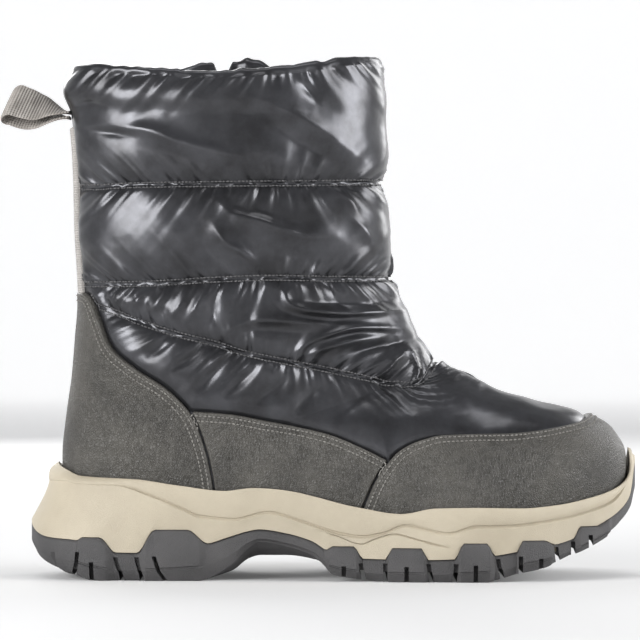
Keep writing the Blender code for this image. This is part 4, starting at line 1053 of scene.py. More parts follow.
def quilted_shell():
    """The closed padded shell."""
    rows, columns = SHELL.shape[:2]
    count = (rows - 1) // LINING_STEP * LINING_STEP + 1
    outer = SHELL[:count]
    lining = lining_net()[:count:LINING_STEP, ::LINING_STEP]
    fine, coarse = np.arange(columns), np.arange(0, columns, LINING_STEP)
    inner_edge = np.array([np.interp(fine, coarse, lining[0, :, i]) for i in range(3)]).T
    blocks = [collar_roll(outer[0], inner_edge)[::-1], outer, lining]
    starts = np.cumsum([0] + [block.shape[0] * block.shape[1] for block in blocks])
    one, two, three = [start + np.arange(b.shape[0] * b.shape[1]).reshape(b.shape[:2])
                       for start, b in zip(starts, blocks)]
    faces = grid_faces(np.vstack((one, two))).tolist() + grid_faces(three).tolist()
    faces += join_lines(one[0], three[0], LINING_STEP)
    faces += join_lines(two[-1], three[-1], LINING_STEP)
    corner = int(np.searchsorted(ROWS, CORNER)) // LINING_STEP * LINING_STEP
    for side in (0, -1):
        faces += join_lines(two[corner:, side], three[corner // LINING_STEP:, side], LINING_STEP)
    points = np.concatenate([block.reshape(-1, 3) for block in blocks])
    return make_piece("quilted_shell", points, faces, "nylon", merge=0.00002)


closed = SHELL[:int(np.searchsorted(ROWS, CORNER)) + 1]
closed[:, 0] = closed[:, -1] = (closed[:, 0] + closed[:, -1]) / 2
shell = quilted_shell()
dress(shell, "nylon", "upper")

# %% [markdown]
# ## Leather laid on the shell
# Each leather piece is cut from a hide by a pattern and stitched on. Here its pattern is a field on the net:
# the distance from the cut edge. Triangles are split where the field has chosen levels, so the piece gets a
# clean edge that rounds over, and the same splitting finds the lines that the stitches follow.

# %% Splitting triangles along a level
def split(values, tris, level):
    """Cut triangles where their last value crosses a level; also returns the line that this leaves."""
    above = values[:, -1] > level
    count = above[tris].sum(axis=1)
    made, new, pieces, line = {}, [], [], []

    def crossing(a, b):
        key = (min(a, b), max(a, b))
        if key not in made:
            t = (level - values[a, -1]) / (values[b, -1] - values[a, -1])
            made[key] = len(values) + len(new)
            new.append(values[a] + (values[b] - values[a]) * t)
        return made[key]

    for tri in tris[(count == 1) | (count == 2)].tolist():
        odd = [bool(above[v]) for v in tri]
        lone = odd.index(sum(odd) == 1)
        a, b, c = tri[lone], tri[lone - 2], tri[lone - 1]
        ab, ac = crossing(a, b), crossing(a, c)
        pieces += [(a, ab, ac), (ab, b, c), (ab, c, ac)]
        line.append((ab, ac))
    if pieces:
        values = np.vstack((values, new))
        tris = np.vstack((tris[(count == 0) | (count == 3)], pieces))
    return values, tris, line


def net_part(field, points, lowest, step=1):
    """Points, outward directions and field of the net, and the triangles that reach a lowest field."""
    field = field[::step, ::step]
    values = np.concatenate((points[::step, ::step], NORMALS[::step, ::step], field[..., None]), axis=2)
    values = values.reshape(-1, 7)
    index = np.arange(field.size).reshape(field.shape)
    quads = grid_faces(index)
    quads = quads[field.ravel()[quads].max(axis=1) > lowest]
    return values, np.vstack((quads[:, [0, 1, 2]], quads[:, [0, 2, 3]]))


print("splitting ready")

# %% Laying a piece on the skin
ROUNDING = 0.9
UNDER = 1.2
EDGE_LEVELS = (0, 0.08, 0.25, 0.5, ROUNDING)


def overlay(name, field, thickness, finish, slot, *nodes):
    """A sewn-on piece with a rounded edge, closed underneath."""
    values, tris = net_part(field, SKIN, 0.0, 2)
    for level in EDGE_LEVELS:
        values, tris, _ = split(values, tris, level * MM)
    tris = tris[values[:, -1][tris].mean(axis=1) > 0]
    inside = np.maximum(values[:, -1], 0)
    rise = np.sqrt(np.maximum(1 - (1 - np.minimum(inside / (ROUNDING * MM), 1)) ** 2, 0))
    full = GAP + thickness + UNDER * MM
    base, outwards = values[:, :3], values[:, 3:6]
    top = base + outwards * (full * rise - UNDER * MM)[:, None]
    under = base - outwards * UNDER * MM
    faces = np.vstack((tris, tris[:, ::-1] + len(top)))
    piece = make_piece(name, np.vstack((top, under)), faces, finish, merge=0.00005,
                       edge=np.concatenate((inside, inside)))
    dress(piece, slot, *nodes)


def trim(*fields):
    """The field of a piece that all the given edges bound."""
    return np.minimum.reduce(fields)


print("pieces are", ROUNDING, "mm round at their edges")

# %% Leather pieces
BED_CLEAR = 1.2
FLOOR_FIELD = true_distance(TRUE_Z - bed_height((TRUE_X - UPPER_BACK) / UPPER_LENGTH) - BED_CLEAR * MM)
Cut = namedtuple("Cut", "name field thickness node")
CUTS = [
    Cut("counter", trim(COUNTER, FLOOR_FIELD), LEATHER, "heel_counter"),
    Cut("cap", trim(CAP, FLOOR_FIELD), LEATHER, "toe_cap"),
    Cut("panel_outer", trim(PANEL_FIELD, FLOOR_FIELD, np.where(INNER, -1, 1)), PANEL, "side_panel_outer"),
    Cut("panel_inner", trim(PANEL_FIELD, FLOOR_FIELD, np.where(INNER, 1, -1)), PANEL, "side_panel_inner"),
]
for cut in CUTS:
    overlay(cut.name, cut.field, cut.thickness, "leather", "leather", cut.node)

# %% Webbing on the shell
STAY_TOP = 0.2075
STAY_TUCK = 3 * MM
COUNTER_TOP = float(bed_height(0) + COUNTER_EDGE[1].rise * (BOOT_HEIGHT - bed_height(0)))
SLIDER_HALF = 0.0055
overlay("back_strip", trim(STAY_FIELD, STAY_TOP - TRUE_Z, TRUE_Z - COUNTER_TOP + STAY_TUCK), STRIP, "strip",
        "webbing", "backstay")
overlay("tape", trim(ZIP_FIELD, ZIP_TOP + SLIDER_HALF - TRUE_Z), TAPE, "tape", "webbing", "zip_tape")

# %% [markdown]
# ## Stitches
# A stitch is a short fat thread that dips into the cloth at both ends. There are hundreds, in two rows beside
# every edge and along every quilting seam, so Geometry Nodes place one small body again and again along the
# lines that the splitting found.

# %% Lines for stitches
STITCH_EDGE = 1.9
STITCH_ROWS = 2.3
SEAM_ROWS = (-1.1, 1.1)
BARRED = 0.5
NEAR_LEVEL = 3
CLEAR = 0.8
RIM_HIDES = 7


def stitch_lines(field, level, surface, allowed, lift):
    """Points and edges along one level of a field, lifted off a surface."""
    values, tris = net_part(np.where(allowed, field, field - BARRED), surface, -1.0)
    near = np.abs(values[:, -1][tris] - level).min(axis=1) < NEAR_LEVEL * MM
    values, _, line = split(values, tris[near], level)
    ends = np.unique(np.array(line)) if line else np.array([], int)
    order = {int(v): i for i, v in enumerate(ends)}
    return values[ends, :3] + values[ends, 3:6] * lift, [(order[a], order[b]) for a, b in line]


def joined(parts):
    """Join several sets of points and edges."""
    points, edges, count = [], [], 0
    for some, links in parts:
        points += some.tolist()
        edges += [(a + count, b + count) for a, b in links]
        count += len(some)
    return points, edges


shown = FLOOR_FIELD > RIM_HIDES * MM
bare = np.maximum(LEATHER_FIELD, np.maximum(ZIP_FIELD, STAY_FIELD)) < -CLEAR * MM
SEWN = [
    (COUNTER, shown, LEATHER + 0.05 * MM),
    (CAP, shown, LEATHER + 0.05 * MM),
    (BELOW_PANEL, shown & (PANEL_FIELD > -MM), PANEL),
]
paths = [stitch_lines(field, (STITCH_EDGE + row * STITCH_ROWS) * MM, SKIN, allowed, GAP + lift)
         for field, allowed, lift in SEWN for row in range(2)]
quilting = [stitch_lines(distance, side * MM, SHELL, bare, 0.1 * MM)
            for distance, _ in SEAM_FIELDS for side in SEAM_ROWS]
print("stitch lines", len(paths), "and", len(quilting), "in the quilting")

# %% Geometry Nodes that sew
BEAD_SIDES = 6
BEAD_RINGS = 4


def link_nodes(tree, *pairs):
    """Links between sockets, given in pairs."""
    for out, into in pairs:
        tree.links.new(out, into)


def sewing_tree(thread):
    """Stitches along the edges of a mesh: Pitch apart, Long and Thick."""
    tree = bpy.data.node_groups.new("sewing", "GeometryNodeTree")
    tree.interface.new_socket("Geometry", in_out="INPUT", socket_type="NodeSocketGeometry")
    for label in ("Pitch", "Long", "Thick"):
        tree.interface.new_socket(label, in_out="INPUT", socket_type="NodeSocketFloat")
    tree.interface.new_socket("Geometry", in_out="OUTPUT", socket_type="NodeSocketGeometry")
    add = tree.nodes.new
    inside, out = add("NodeGroupInput"), add("NodeGroupOutput")
    curve, even = add("GeometryNodeMeshToCurve"), add("GeometryNodeResampleCurve")
    even.mode = "LENGTH"
    bead, size = add("GeometryNodeMeshUVSphere"), add("ShaderNodeCombineXYZ")
    bead.inputs["Segments"].default_value = BEAD_SIDES
    bead.inputs["Rings"].default_value = BEAD_RINGS
    shaped, spots = add("GeometryNodeTransform"), add("GeometryNodeInstanceOnPoints")
    tangent, turn = add("GeometryNodeInputTangent"), add("FunctionNodeAlignRotationToVector")
    real, painted = add("GeometryNodeRealizeInstances"), add("GeometryNodeSetMaterial")
    soft = add("GeometryNodeSetShadeSmooth")
    painted.inputs["Material"].default_value = thread
    link_nodes(
        tree,
        (inside.outputs["Geometry"], curve.inputs["Mesh"]),
        (curve.outputs["Curve"], even.inputs["Curve"]),
        (inside.outputs["Pitch"], even.inputs["Length"]),
        (inside.outputs["Long"], size.inputs["Z"]),
        (inside.outputs["Thick"], size.inputs["X"]),
        (inside.outputs["Thick"], size.inputs["Y"]),
        (bead.outputs["Mesh"], shaped.inputs["Geometry"]),
        (size.outputs["Vector"], shaped.inputs["Scale"]),
        (even.outputs["Curve"], spots.inputs["Points"]),
        (shaped.outputs["Geometry"], spots.inputs["Instance"]),
        (tangent.outputs["Tangent"], turn.inputs["Vector"]),
        (turn.outputs["Rotation"], spots.inputs["Rotation"]),
        (spots.outputs["Instances"], real.inputs["Geometry"]),
        (real.outputs["Geometry"], soft.inputs["Geometry"]),
        (soft.outputs["Geometry"], painted.inputs["Geometry"]),
        (painted.outputs["Geometry"], out.inputs["Geometry"]),
    )
    return tree


print("a stitch has", BEAD_SIDES, "sides")

# %% Growing stitches along the lines
def grow(name, points, edges, tree, sizes):
    """Run a Geometry Nodes tree over points and edges and keep the plain mesh."""
    data = bpy.data.meshes.new(name)
    data.from_pydata(points, edges, [])
    source = bpy.data.objects.new(name + "_path", data)
    bpy.context.scene.collection.objects.link(source)
    modifier = source.modifiers.new("nodes", "NODES")
    modifier.node_group = tree
    for item in tree.interface.items_tree:
        if item.item_type == "SOCKET" and item.in_out == "INPUT" and item.name in sizes:
            modifier[item.identifier] = sizes[item.name]
    evaluated = source.evaluated_get(bpy.context.evaluated_depsgraph_get())
    result = bpy.data.meshes.new_from_object(evaluated)
    bpy.data.objects.remove(source)
    piece = bpy.data.objects.new(name, result)
    bpy.context.scene.collection.objects.link(piece)
    return piece


stitches = grow("stitches", *joined(paths), sewing_tree(FINISHES["thread"]),
                {"Pitch": 0.0020, "Long": 0.00080, "Thick": 0.00040})
dress(stitches, "webbing")
seam_stitches = grow("seam_stitches", *joined(quilting), sewing_tree(FINISHES["dark thread"]),
                     {"Pitch": 0.0018, "Long": 0.00085, "Thick": 0.00042})
dress(seam_stitches, "nylon")

# %% [markdown]
# ## The sole
# The sole is two mouldings: a pale foam cup and a dark rubber tray whose lugs climb its side. Both are lofts:
# closed rings round the plan outline, each with its own height and outset at every angle. The moulded step
# and the rounded rim are only more rings. The foot's form is cut out of the cup with a boolean, and the
# slots out of the tread.

# %% Heights round the sole's side
Side = namedtuple("Side", "along base edge core lip")
SIDE = [
    Side(0.000, 0.464, 0.250, 0.054, 1.00), Side(0.030, 0.339, 0.116, 0.027, 1.00),
    Side(0.080, 0.320, 0.045, 0.005, 1.00), Side(0.110, 0.280, 0.000, 0.000, 1.00),
    Side(0.145, 0.225, 0.000, 0.000, 1.00), Side(0.180, 0.223, 0.000, 0.000, 1.00),
    Side(0.280, 0.277, 0.000, 0.000, 1.00), Side(0.333, 0.357, 0.125, 0.070, 1.00),
    Side(0.360, 0.398, 0.260, 0.170, 1.00), Side(0.379, 0.413, 0.311, 0.196, 1.00),
    Side(0.420, 0.384, 0.277, 0.196, 1.00), Side(0.463, 0.321, 0.205, 0.160, 1.00),
    Side(0.500, 0.214, 0.050, 0.050, 1.00), Side(0.550, 0.182, 0.015, 0.015, 1.00),
    Side(0.584, 0.178, 0.000, 0.000, 1.00), Side(0.650, 0.177, 0.000, 0.000, 1.00),
    Side(0.740, 0.200, 0.000, 0.000, 1.00), Side(0.767, 0.217, 0.022, 0.018, 1.00),
    Side(0.800, 0.246, 0.071, 0.054, 1.00), Side(0.834, 0.273, 0.104, 0.089, 1.00),
    Side(0.862, 0.300, 0.152, 0.132, 1.00), Side(0.890, 0.345, 0.214, 0.187, 1.00),
    Side(0.914, 0.405, 0.268, 0.232, 0.95), Side(0.943, 0.475, 0.345, 0.280, 0.85),
    Side(0.967, 0.550, 0.420, 0.315, 0.75), Side(0.987, 0.668, 0.523, 0.345, 0.65),
    Side(0.996, 0.890, 0.590, 0.355, 0.60), Side(1.000, 0.979, 0.625, 0.360, 0.57),
]
print("side of the sole", len(SIDE), "places")

# %% Lugs and slots
Lug = namedtuple("Lug", "start rise_end fall_start end top")
LUGS = [
    Lug(0.081, 0.091, 0.118, 0.146, 0.345),
    Lug(0.180, 0.210, 0.262, 0.300, 0.410),
    Lug(0.483, 0.497, 0.531, 0.546, 0.280),
    Lug(0.582, 0.593, 0.640, 0.651, 0.270),
    Lug(0.693, 0.708, 0.745, 0.759, 0.310),
    Lug(0.794, 0.803, 0.838, 0.860, 0.330),
    Lug(0.887, 0.899, 0.930, 0.955, 0.435),
]

Slot = namedtuple("Slot", "along top lean")
SLOTS = [
    Slot(0.047, 0.220, 0.006), Slot(0.075, 0.230, -0.008), Slot(0.161, 0.190, 0.016),
    Slot(0.192, 0.190, 0.012), Slot(0.552, 0.150, 0.010), Slot(0.582, 0.150, 0.000),
    Slot(0.659, 0.150, 0.008), Slot(0.692, 0.150, -0.004), Slot(0.775, 0.190, 0.012),
    Slot(0.800, 0.210, 0.000), Slot(0.868, 0.280, 0.010), Slot(0.890, 0.320, 0.004),
    Slot(0.921, 0.370, 0.006),
    Slot(0.108, 0.150, 0.002), Slot(0.232, 0.200, 0.024), Slot(0.515, 0.125, 0.000),
    Slot(0.616, 0.125, 0.000), Slot(0.727, 0.140, 0.000), Slot(0.833, 0.190, 0.000),
]
print("tread", len(LUGS), "lugs,", len(SLOTS), "slots")

# %% Rim and moulded line of the foam
Level = namedtuple("Level", "along height")
RIM = [
    Level(0.000, 0.945), Level(0.017, 0.885), Level(0.040, 0.840), Level(0.133, 0.820),
    Level(0.207, 0.770), Level(0.287, 0.729), Level(0.337, 0.753), Level(0.374, 0.745),
    Level(0.448, 0.689), Level(0.529, 0.599), Level(0.603, 0.548), Level(0.662, 0.594),
    Level(0.732, 0.599), Level(0.807, 0.594), Level(0.862, 0.616), Level(0.917, 0.666),
    Level(0.954, 0.717), Level(0.977, 0.778), Level(0.989, 0.850), Level(0.996, 0.985),
    Level(1.000, 1.055),
]
LINE = [
    Level(0.000, 0.786), Level(0.108, 0.800), Level(0.149, 0.737), Level(0.190, 0.666),
    Level(0.233, 0.588), Level(0.267, 0.530), Level(0.325, 0.505), Level(0.379, 0.563),
    Level(0.436, 0.497), Level(0.510, 0.390), Level(0.541, 0.370), Level(0.575, 0.400),
    Level(0.612, 0.464), Level(0.683, 0.400), Level(0.727, 0.455), Level(0.781, 0.460),
    Level(0.866, 0.513), Level(0.916, 0.574), Level(0.950, 0.632), Level(0.970, 0.704),
    Level(0.992, 0.880), Level(1.000, 1.010),
]
print("foam", len(RIM), "places of its rim,", len(LINE), "of its line")

# %% Places round the sole
@lru_cache(maxsize=None)
def outline(angle, length, width, back, name):
    """Point of a plan outline at an angle round it, and the direction outwards."""
    def at(a):
        along = (1 - math.cos(a)) / 2
        side = -1 if 0 <= a % (2 * math.pi) <= math.pi else 1
        y = width * (lookup(PLAN, "centre", along) + side * lookup(PLAN, name, along))
        return np.array([back + length * along, float(y)])
    step = 0.01
    tangent = at(angle + step) - at(angle - step)
    return at(angle), np.array([tangent[1], -tangent[0]]) / np.linalg.norm(tangent)


def plan_point(angle, length, width, back, name, outset):
    """Point of a plan outline, moved outwards by outset, and the direction outwards."""
    place, normal = outline(angle, length, width, back, name)
    return place + outset * normal, normal


def sole_point(angle, outset):
    """Point of the sole's outline."""
    return plan_point(angle, SOLE_LENGTH, SOLE_WIDTH, SOLE_BACK, "sole", outset)[0]


STATION_SPACING = 0.013
END_PLACES = (0.0, 0.012, 0.030, 0.055, 0.976, 0.988, 0.996, 1.0)


def stations():
    """Angles round the sole, with every corner of a lug among them."""
    alongs = set(END_PLACES)
    for lug in LUGS:
        alongs.update((lug.start, lug.rise_end, lug.fall_start, lug.end))
    corners = [math.pi * float(turn_of(along)) for along in sorted(alongs)]
    half = []
    for low, high in zip(corners, corners[1:]):
        count = max(1, math.ceil((high - low) / STATION_SPACING))
        half += list(np.linspace(low, high, count, endpoint=False))
    half.append(math.pi)
    return half + [2 * math.pi - angle for angle in half[-2:0:-1]]


ANGLES = stations()
print("angles round the sole", len(ANGLES))

# %% Shape of the sole at an angle
LIP = 0.0035
TRAY_SHARE = 0.55
LUG_STEP = 0.0026
LUG_STEEP = 2.2
LUG_RECESS = 0.35
RECESS_START = 0.13
RECESS_END = 0.92
RECESS_RUN = 0.04


def along_of(angle):
    """Share of the length at an angle round the outline."""
    return (1 - math.cos(angle)) / 2


@lru_cache(maxsize=None)
def side_height(name, angle):
    """Height of one of the sole's edges."""
    return SOLE_HEIGHT * float(lookup(SIDE, name, along_of(angle)))


def lug_share(lug, angle):
    """How much of a lug's full height stands at an angle round the sole."""
    places = [lug.start, lug.rise_end, lug.fall_start, lug.end]
    return float(ease(np.interp(along_of(angle), places, [0, 1, 1, 0])))


@lru_cache(maxsize=None)
def standing(angle):
    """How much of any lug stands at an angle."""
    return max(lug_share(lug, angle) for lug in LUGS)


@lru_cache(maxsize=None)
def joint_height(angle):
    """Where outsole and midsole meet, lugs included."""
    base = side_height("base", angle)
    return base + max(lug_share(lug, angle) * max(lug.top * SOLE_HEIGHT - base, 0) for lug in LUGS)


def lug_outset(angle):
    """How far the lugs stand out of the outsole's side."""
    along = along_of(angle)
    between = float(ease((along - RECESS_START) / RECESS_RUN) * ease((RECESS_END - along) / RECESS_RUN))
    return LUG_STEP * (min(1.0, LUG_STEEP * standing(angle)) - LUG_RECESS * between)


def lip_width(angle):
    """Width of the outsole's upper lip."""
    return LIP * float(lookup(SIDE, "lip", along_of(angle)))


def tray_height(angle):
    """Floor of the tray that the midsole sits in."""
    low = max(side_height("edge", angle), side_height("core", angle))
    return low + TRAY_SHARE * (side_height("base", angle) - low)


print("joint at the heel", round(joint_height(0.0) / MM, 1), "mm high")

# %% Lofts
def add_quad(mesh, *corners):
    """A face from three or four different points."""
    corners = [v for i, v in enumerate(corners) if v is not corners[i - 1]]
    if len(corners) > 2:
        mesh.faces.new(corners)


def add_prism(mesh, near_points, far_points):
    """Add a closed prism between two outlines with the same number of corners."""
    near = [mesh.verts.new(point) for point in near_points]
    far = [mesh.verts.new(point) for point in far_points]
    mesh.faces.new(near)
    mesh.faces.new(far[::-1])
    for i in range(len(near)):
        j = (i + 1) % len(near)
        mesh.faces.new((near[j], near[i], far[i], far[j]))


def ladder(mesh, one):
    """Close a ring that runs round a plan outline with rungs from side to side."""
    count = len(one)
    for i in range(count // 2):
        add_quad(mesh, one[-i % count], one[i], one[i + 1], one[(count - i - 1) % count])


def loft(rings):
    """Closed mesh through rings round the sole, each a list of points, closed at both ends."""
    mesh = bmesh.new()
    rows = [[mesh.verts.new(point) for point in one] for one in rings]
    count = len(rows[0])
    for low, high in zip(rows, rows[1:]):
        for i in range(count):
            j = (i + 1) % count
            add_quad(mesh, low[i], low[j], high[j], high[i])
    ladder(mesh, rows[0])
    ladder(mesh, rows[-1])
    bmesh.ops.recalc_face_normals(mesh, faces=mesh.faces)
    return mesh


def outline_ring(outset, height):
    """Ring round the sole; outset and height are functions of the angle."""
    return [(*sole_point(angle, outset(angle)), height(angle)) for angle in ANGLES]


print("loft helpers ready")

# %% Cutting with a boolean
def keep_mesh(name, mesh, finish, cutter=None, sharp=32):
    """A piece from a bmesh, with an optional cutter taken away, shaded smooth up to an angle."""
    data = bpy.data.meshes.new(name)
    mesh.to_mesh(data)
    mesh.free()
    piece = bpy.data.objects.new(name, data)
    bpy.context.scene.collection.objects.link(piece)
    if cutter is not None:
        other = bpy.data.objects.new(name + "_cutter", bpy.data.meshes.new(name + "_cutter"))
        bmesh.ops.recalc_face_normals(cutter, faces=cutter.faces)
        cutter.to_mesh(other.data)
        cutter.free()
        bpy.context.scene.collection.objects.link(other)
        modifier = piece.modifiers.new("cut", "BOOLEAN")
        modifier.operation = "DIFFERENCE"
        modifier.object = other
        evaluated = piece.evaluated_get(bpy.context.evaluated_depsgraph_get())
        result = bpy.data.meshes.new_from_object(evaluated)
        piece.modifiers.clear()
        piece.data = result
        bpy.data.objects.remove(other)
    piece.data.shade_smooth()
    piece.data.set_sharp_from_angle(angle=math.radians(sharp))
    piece.data.materials.clear()
    piece.data.materials.append(FINISHES[finish])
    return piece


print("boolean ready")

# %% Slots in the tread
SLOT_WIDTH = 0.0020
SLOT_DEPTH = 0.0026
TREAD_DEPTH = 0.0045
MAIN_SLOTS = 13
CUTTER_REACH = 0.010
EDGE_ROUND = 0.0008


def slot_mesh():
    """Slots across the tread, deeper in from each side; the last ones only notch the sides."""
    mesh = bmesh.new()
    for place, slot in enumerate(SLOTS):
        angle = math.pi * float(turn_of(slot.along))
        outer = float(sole_point(angle, 0)[1])
        inner = float(sole_point(2 * math.pi - angle, 0)[1])
        x = SOLE_BACK + SOLE_LENGTH * slot.along
        top = slot.top * SOLE_HEIGHT
        lean = slot.lean * SOLE_LENGTH
        stops = [outer - CUTTER_REACH, outer + SLOT_DEPTH, inner - SLOT_DEPTH, inner + CUTTER_REACH]
        deep = side_height("core", angle) + (TREAD_DEPTH if place < MAIN_SLOTS else -EDGE_ROUND)
        shape = [
            (stops[0], -CUTTER_REACH), (stops[3], -CUTTER_REACH), (stops[3], top), (stops[2], top),
            (stops[2], deep), (stops[1], deep), (stops[1], top), (stops[0], top),
        ]
        back = [(x - lean * max(z, 0) / top - SLOT_WIDTH / 2, y, z) for y, z in shape]
        add_prism(mesh, back, [(slant + SLOT_WIDTH, y, z) for slant, y, z in back])
    return mesh


print("slots", SLOT_WIDTH / MM, "mm wide")

# %% Outsole
TREAD_INSET = 0.014
LUG_TAPER = 0.0018
BEVEL_SHARE = 0.42
CREASE = 0.0006


def outsole():
    """Rubber tray with lugs, a bevel along their middle and rounded edges."""
    def edge(a):
        return side_height("edge", a)

    def bevel(a):
        return edge(a) + BEVEL_SHARE * (side_height("base", a) - edge(a))

    def creased(a):
        return lug_outset(a) - CREASE * standing(a)

    def out(share, inset):
        return lambda a: share * lug_outset(a) - inset

    def lifted(level, lift):
        return lambda a: level(a) + lift

    rings = [
        outline_ring(lambda a: -TREAD_INSET, lambda a: side_height("core", a)),
        outline_ring(out(1, LUG_TAPER + EDGE_ROUND), edge),
        outline_ring(out(1, LUG_TAPER + 0.3 * EDGE_ROUND), lifted(edge, 0.3 * EDGE_ROUND)),
        outline_ring(out(1, LUG_TAPER), lifted(edge, EDGE_ROUND)),
        outline_ring(lug_outset, lifted(bevel, -CREASE)),
        outline_ring(creased, lifted(bevel, -CREASE / 3)),
        outline_ring(creased, lifted(bevel, CREASE / 3)),
        outline_ring(lug_outset, lifted(bevel, CREASE)),
        outline_ring(out(0.8, 0), lifted(joint_height, -1.6 * EDGE_ROUND)),
        outline_ring(out(0.7, 0.4 * EDGE_ROUND), lifted(joint_height, -0.6 * EDGE_ROUND)),
        outline_ring(out(0.6, EDGE_ROUND), joint_height),
        outline_ring(lambda a: -lip_width(a), joint_height),
        outline_ring(lambda a: -lip_width(a), tray_height),
    ]
    return keep_mesh("tread", loft(rings), "rubber", slot_mesh())


tread = outsole()
dress(tread, "rubber", "outsole")

# %% The foot's form
CUP_FIT = CUP - 0.2 * MM
FORM_STEP = 4


def foot_form():
    """Closed form of the dressed foot, which the foam is hollowed for."""
    corner = int(np.searchsorted(ROWS, CORNER))
    rows = sorted({*range(0, len(ROWS), FORM_STEP), corner, len(ROWS) - 1})
    net = (SKIN + CUP_FIT * NORMALS)[rows][:, ::FORM_STEP]
    mesh = bmesh.new()
    grid = [[mesh.verts.new(point) for point in one] for one in net.tolist()]
    for one, two in zip(grid, grid[1:]):
        for i in range(len(one) - 1):
            add_quad(mesh, one[i], one[i + 1], two[i + 1], two[i])
    feet = [one for row, one in zip(rows, grid) if row >= corner]
    for one, two in zip(feet, feet[1:]):
        add_quad(mesh, one[0], two[0], two[-1], one[-1])
    mesh.faces.new(grid[0][:-1])
    mesh.faces.new(grid[-1])
    bmesh.ops.remove_doubles(mesh, verts=mesh.verts, dist=0.00002)
    bmesh.ops.recalc_face_normals(mesh, faces=mesh.faces)
    return mesh


print("foot form outset", round(CUP_FIT / MM, 2), "mm")

# %% Rim of the foam
RIM_WALL = 0.0016
RAY_BACK = 0.028
RAY_SPARE = 0.010


def rim_ring():
    """Upper edge of the foam, a wall's thickness outside the dressed foot."""
    form = foot_form()
    tree = BVHTree.FromBMesh(form)
    points = []
    for angle in ANGLES:
        height = SOLE_HEIGHT * float(lookup(RIM, "height", along_of(angle)))
        start, normal = plan_point(angle, UPPER_LENGTH, UPPER_WIDTH, UPPER_BACK, "foot", -RAY_BACK)
        hit = tree.ray_cast(Vector((*start, height)), Vector((*normal, 0)))[0]
        if hit is None or math.dist(hit[:2], start) > RAY_BACK + RAY_SPARE:
            hit = Vector((*(start + (RAY_BACK + CUP_FIT) * normal), height))
        points.append((hit.x + RIM_WALL * normal[0], hit.y + RIM_WALL * normal[1], height))
    form.free()
    return points


rim = np.array(rim_ring())
print("rim from", round(rim[:, 2].min() / MM, 1), "to", round(rim[:, 2].max() / MM, 1), "mm")

# %% Foam cup
RIM_BULGE = 0.0007
GROOVE = 0.0005
STEP_OUT = 0.0010
LOW_LINE = [
    Level(0.000, 0.400), Level(0.480, 0.422), Level(0.510, 0.356), Level(0.541, 0.306), Level(0.561, 0.348),
    Level(0.594, 0.389), Level(0.629, 0.348), Level(0.662, 0.306), Level(0.700, 0.270), Level(1.000, 0.300),
]


def heights_round(table):
    """A table's heights at every angle."""
    return np.array([SOLE_HEIGHT * float(lookup(table, "height", along_of(a))) for a in ANGLES])


def foam_cup():
    """Foam with a rounded rim, a moulded step and a flare down to the outsole."""
    foot = np.array([(*sole_point(a, 0), joint_height(a) + GAP) for a in ANGLES])
    normal = np.array([plan_point(a, SOLE_LENGTH, SOLE_WIDTH, SOLE_BACK, "sole", 0)[1] for a in ANGLES])
    line, low = heights_round(LINE), heights_round(LOW_LINE)
    along = np.array([along_of(a) for a in ANGLES])
    share = np.clip((rim[:, 2] - line) / (rim[:, 2] - foot[:, 2]), 0.12, 0.8)
    step = ease((along - 0.10) / 0.06) * ease((0.995 - along) / 0.04)
    low_share = np.clip((rim[:, 2] - low) / (rim[:, 2] - foot[:, 2]), share + 0.08, 0.93)
    low_on = ease((along - 0.47) / 0.03) * ease((0.70 - along) / 0.04)
    low_share = np.where(low_on > 0, low_share, share + 0.45 * (1 - share))

    def ring_at(f, outset=0.0, lower=0.0):
        g = smooth([0, 0.14, 0.39, 1], [0, 0.27, 0.38, 1], f)
        shift = (np.zeros(len(rim)) + outset)[:, None] * normal
        flat = rim[:, :2] + (foot[:, :2] - rim[:, :2]) * g[:, None] + shift
        return np.column_stack((flat, rim[:, 2] + (foot[:, 2] - rim[:, 2]) * f - lower)).tolist()

    rings = [rim.tolist()]
    for t in (0.04, 0.10, 0.2, 0.32, 0.45, 0.6, 0.75, 0.88, 0.97):
        rings.append(ring_at(t * share, RIM_BULGE * math.sin(math.pi * t) ** 0.6))
    rings.append(ring_at(share, -GROOVE * step))
    rings.append(ring_at(share, -GROOVE * step, GROOVE * step))
    for t in (0.0, 0.1, 0.3, 0.6, 0.9):
        out = STEP_OUT * (1 - 0.4 * t) * (0.5 if t == 0 else 1) * step
        rings.append(ring_at(share + (low_share - share) * t, out, 2 * GROOVE * (1 - t) * step))
    rings.append(ring_at(low_share, (0.6 * STEP_OUT - 1.6 * GROOVE * low_on) * step))
    for t in (0.1, 0.35, 0.65, 0.9):
        rings.append(ring_at(low_share + (1 - low_share) * t, STEP_OUT * 0.6 * (1 - t) * step))
    rings.append(foot.tolist())
    rings.append([(*sole_point(a, -lip_width(a) - GAP), joint_height(a) + GAP) for a in ANGLES])
    rings.append([(*sole_point(a, -lip_width(a) - GAP), tray_height(a) + GAP) for a in ANGLES])
    return keep_mesh("foam_cup", loft(rings), "foam", foot_form(), sharp=38)


cup = foam_cup()
dress(cup, "foam", "midsole")

# %% Insole
BED_RINGS = [(6.5, 0.3), (6.0, 0.8), (6.0, 3.4), (6.8, 4.0)]


def inside_ring(inset, lift):
    """Ring round the bed of the foot, set in and lifted by millimetres."""
    points = []
    for angle in ANGLES:
        x, y = plan_point(angle, UPPER_LENGTH, UPPER_WIDTH, UPPER_BACK, "foot", -inset * MM)[0]
        points.append((x, y, float(bed_height((x - UPPER_BACK) / UPPER_LENGTH)) + lift * MM))
    return points


bed = keep_mesh("felt_bed", loft([inside_ring(*sizes) for sizes in BED_RINGS]), "felt")
dress(bed, "felt", "insole")

